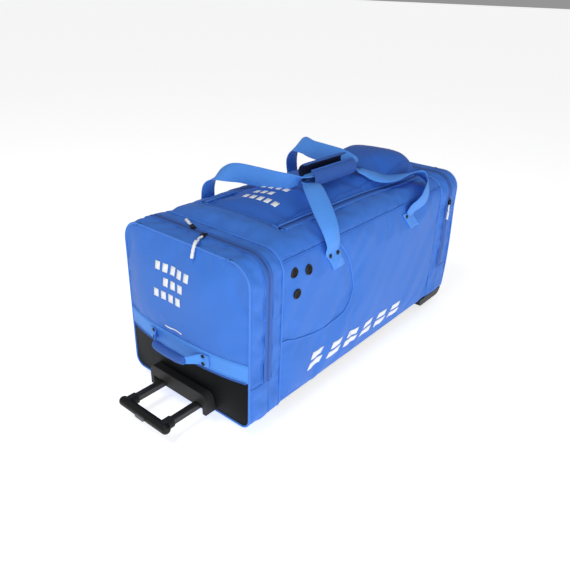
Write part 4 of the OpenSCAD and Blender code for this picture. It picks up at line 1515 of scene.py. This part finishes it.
def wrap():
    """The padded wrap, half open: a roll round the straps and a leaf that stands up from it."""
    low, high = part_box("wrap_pad")
    radius = 0.0195
    centre_y = -0.058
    centre_z = 0.508
    start, end, steps = 104, 334, 24
    arc = []
    for k in range(steps + 1):
        turn = math.radians(start + (end - start) * k / steps)
        arc.append((centre_y + radius * math.cos(turn), centre_z + radius * math.sin(turn)))
    roll = padded_sheet("wrap_roll", arc, low.x, high.x, 0.0062)
    settle_in(roll, "near_handle", ["wrap_pad"])
    rim_y, rim_z = arc[0]
    rim = [(Vector((x, rim_y, rim_z + 0.0015)), Vector((0, 0, 1)))
           for x in spaced(low.x + 0.004, high.x - 0.004, 0.006)]
    trim("wrap_roll_binding", rim, circle_section(0.0030), "zip_tape", "near_handle")

    leaf = padded_sheet("wrap_leaf", smooth_path(LEAF_CURVE, 4), low.x, high.x, 0.0055)
    hinge = Vector(JOINTS["wrap_open"]["pos_m"])
    fold = ("near_handle", "wrap", hinge + Vector((0, -0.002, -0.002)), hinge + Vector((0, 0.012, 0.010)))
    settle_in(leaf, fold, ["wrap_flap"])


# Half of the grab handle's path: x, y and the height over its middle line.
GRAB_ROUTE = [
    (-0.4995, 0.100, 0.000), (-0.5005, 0.088, 0.000), (-0.5030, 0.078, 0.000), (-0.5110, 0.069, -0.001),
    (-0.5210, 0.060, -0.002), (-0.5280, 0.050, -0.003), (-0.5305, 0.036, -0.005), (-0.5310, 0.000, -0.006),
]


def grab_handle():
    """Webbing between two riveted ends, gathered in its middle inside a padded sleeve."""
    middle_z = 0.181
    half = [(x, y, middle_z + dz) for x, y, dz in GRAB_ROUTE]
    full = half + [(x, -y, z) for x, y, z in reversed(half[:-1])]
    places = [Vector(row) for row in smooth_path(full, 6)]
    upright = Vector((0, 0, 1))
    frames = []
    for place, heading in zip(places, headings(places)):
        across = (upright - upright.dot(heading) * heading).normalized()
        frames.append((place, across, heading.cross(across)))
    gather = [1.0 - 0.35 * ease((0.085 - abs(place.y)) / 0.03) for place in places]
    strap = sweep("grab_strap", frames, band_section(0.030, 0.0024), "webbing", sizes=gather)
    fold = ("bag", "grab_handle", (-0.5005, 0, middle_z), (-0.5130, 0, middle_z))
    settle_in(strap, fold, ["grab_webbing"])

    middle = [f for f in frames if abs(f[0].y) < 0.054]
    half_height, half_depth = 0.0112, 0.0078
    sizes = []
    for i in range(len(middle)):
        t = abs(2 * i / (len(middle) - 1) - 1)
        lumps = 1 + 0.035 * noise.noise(Vector((i * 0.35, 0, 4)))
        sizes.append(math.sqrt(max(0.12, 1 - t ** 16)) * lumps)
    section = circle_section(half_height, 20, half_depth / half_height)
    pad = sweep("grab_sleeve", middle, section, "wrap_cloth", sizes=sizes)
    settle_in(pad, "grab_handle", ["grab_grip"])
    seam = [(place + out * 0.0080, out) for place, _, out in middle[2:-2]]
    stitch(("grab_stitching", "light_webbing", "grab_handle"), seam)


# ---------------------------------------------------------------- inside


def inside_walls():
    """The cloth walls of the end pockets, slack between their seams and cut out over the housings."""
    low = 0.066
    high = TOP_Z - 0.008
    flat_top = 0.103
    cut_top = 0.100
    columns = 41
    zs = spaced(low, high, 0.010)
    for end in (FRONT, REAR):
        points = []
        for z in zs:
            for k in range(columns):
                y = (2 * k / (columns - 1) - 1) * (half_width(z) - 0.007)
                belly = math.sin(math.pi * (z - low) / (high - low)) * (1 - (y / HALF_W) ** 2)
                ripple = noise.noise(Vector((y * 9, z * 14, end * 3.0)))
                x = end * (SEAM_X + 0.001)
                if not (end == REAR and z < flat_top and abs(y) > HOUSING_IN_Y - 0.004):
                    x += end * 0.004 * belly + 0.0025 * belly * ripple
                points.append(Vector((x, y, z)))

        def keep(i, j):
            y = abs(points[i * columns + j].y)
            return not (end == REAR and zs[i] < cut_top and y > HOUSING_IN_Y - 0.008)

        faces = grid_faces(len(zs), columns, keep)
        wall = new_piece(END_TAG[end] + "_pocket_wall", points, faces, "lining", "lining")
        thicken(wall, 0.0018)
        settle_in(wall, "bag", ["bulkheads"])


# ---------------------------------------------------------------- CAD nodes that show as they are

NODE_MATERIALS = {
    "base_board": "fibre_board",
    "tube_saddles": "grey_plastic",
    "skid_rails": "black_plastic",
    "trolley_plate": "soft_black",
    "outer_tubes": "aluminium",
    "wheel_housings": "black_plastic",
    "wheel_axles": "steel",
    "housing_screws": "steel",
    "mid_tubes": "anodised",
    "mid_bushes": "black_plastic",
    "inner_tubes": "anodised",
    "handle_grip": "soft_black",
    "inner_plugs": "grey_plastic",
    "release_rods": "steel",
    "button_spring": "steel",
    "release_button": "grey_plastic",
    "lock_pins": "steel",
    "near_wheel_hub": "grey_plastic",
    "near_wheel_tyre": "rubber",
    "far_wheel_hub": "grey_plastic",
    "far_wheel_tyre": "rubber",
}


def dress_nodes():
    for node, key in NODE_MATERIALS.items():
        for slot in frame["nodes"][node].material_slots:
            slot.material = MATERIALS[key]
            slot.link = "DATA"


# ---------------------------------------------------------------- assembly


def build_bag():
    """Makes the cloth sheets, simulates them, keeps their surface, and gives them their thickness."""
    sides = side_panels()
    bottom = floor_panel()
    border = top_border()
    gussets = {end: end_gusset(end) for end in (FRONT, REAR)}
    faces = {end: end_sheets(end) for end in (FRONT, REAR)}
    band = end_sheet("front_band_cloth", FRONT, BAND_LOW_Z - 0.001, BAND_TOP_Z, 0.0015,
                     materials=("webbing", "lining"))
    lid = lid_sheet()
    simulate()
    sheets = [sides[NEAR], sides[FAR], bottom, border, lid, band]
    for end in (FRONT, REAR):
        sheets += [*gussets[end], *faces[end]]
    remember_surface(sheets)
    for sheet in sheets:
        thicken(sheet, WALL)
    settle_in(sides[NEAR], "bag", ["near_side_panel"])
    settle_in(sides[FAR], "bag", ["far_side_panel"])
    settle_in(bottom, "bag", ["floor_panel"])
    settle_in(border, "bag", ["top_border"])
    settle_in(band, "bag", ["front_band"])
    settle_in(lid, LID_FOLD, ["lid_panel"])
    for end in (FRONT, REAR):
        tag = END_TAG[end]
        inner, base, outer = gussets[end]
        face, skirt = faces[end]
        settle_in(inner, "bag", [tag + "_gusset"])
        settle_in(base, "bag")
        settle_in(outer, flap_fold(end), [tag + "_flap_gusset"])
        settle_in(skirt, "bag", [tag + "_skirt"])
        nodes = [tag + "_flap_panel"]
        if end == FRONT:
            nodes.append("front_lower_panel")
        settle_in(face, flap_fold(end), nodes)


def band_edges():
    """Dark piping below the light band and stitching along both its edges."""
    half_length = 0.194

    def row(z, lift):
        return [on_end(FRONT, y, z, lift) for y in spaced(-half_length, half_length, 0.008)]

    trim("front_band_piping", row(BAND_LOW_Z - 0.0020, 0.0010), circle_section(0.0024), "wrap_cloth",
         "bag")
    key = ("front_band_stitching", "light_webbing", "bag")
    stitch(key, row(BAND_LOW_Z + 0.0050, 0.0003))
    stitch(key, row(BAND_TOP_Z - 0.0050, 0.0003))


def main():
    add_camera()
    add_studio()
    make_materials()
    build_bag()
    seams_and_piping()
    band_edges()
    end_zips()
    main_zip()
    vents()
    strap_ends()
    # Slider, pull, the pull's length, and how far its tip hangs down.
    for slider, pull, length, droop in (
        ("front_slider_near", "front_pull_near", 0.078, 0.024),
        ("front_slider_far", "front_pull_far", 0.058, 0.0),
        ("main_slider_near", "main_pull_near", 0.058, -0.004),
        ("main_slider_far", "main_pull_far", 0.058, -0.004),
        ("rear_slider", "rear_pull", 0.066, 0.0),
    ):
        zip_pull(pull, length, droop)
        zip_slider(slider, pull)
    printed_marks()
    carrying_strap("near_carrying_strap", NEAR_ROUTE, "near_handle", "near_strap")
    carrying_strap("far_carrying_strap", FAR_ROUTE, "far_handle", "far_strap")
    wrap()
    grab_handle()
    inside_walls()
    sew_threads()
    dress_nodes()
    add_floor()


main()
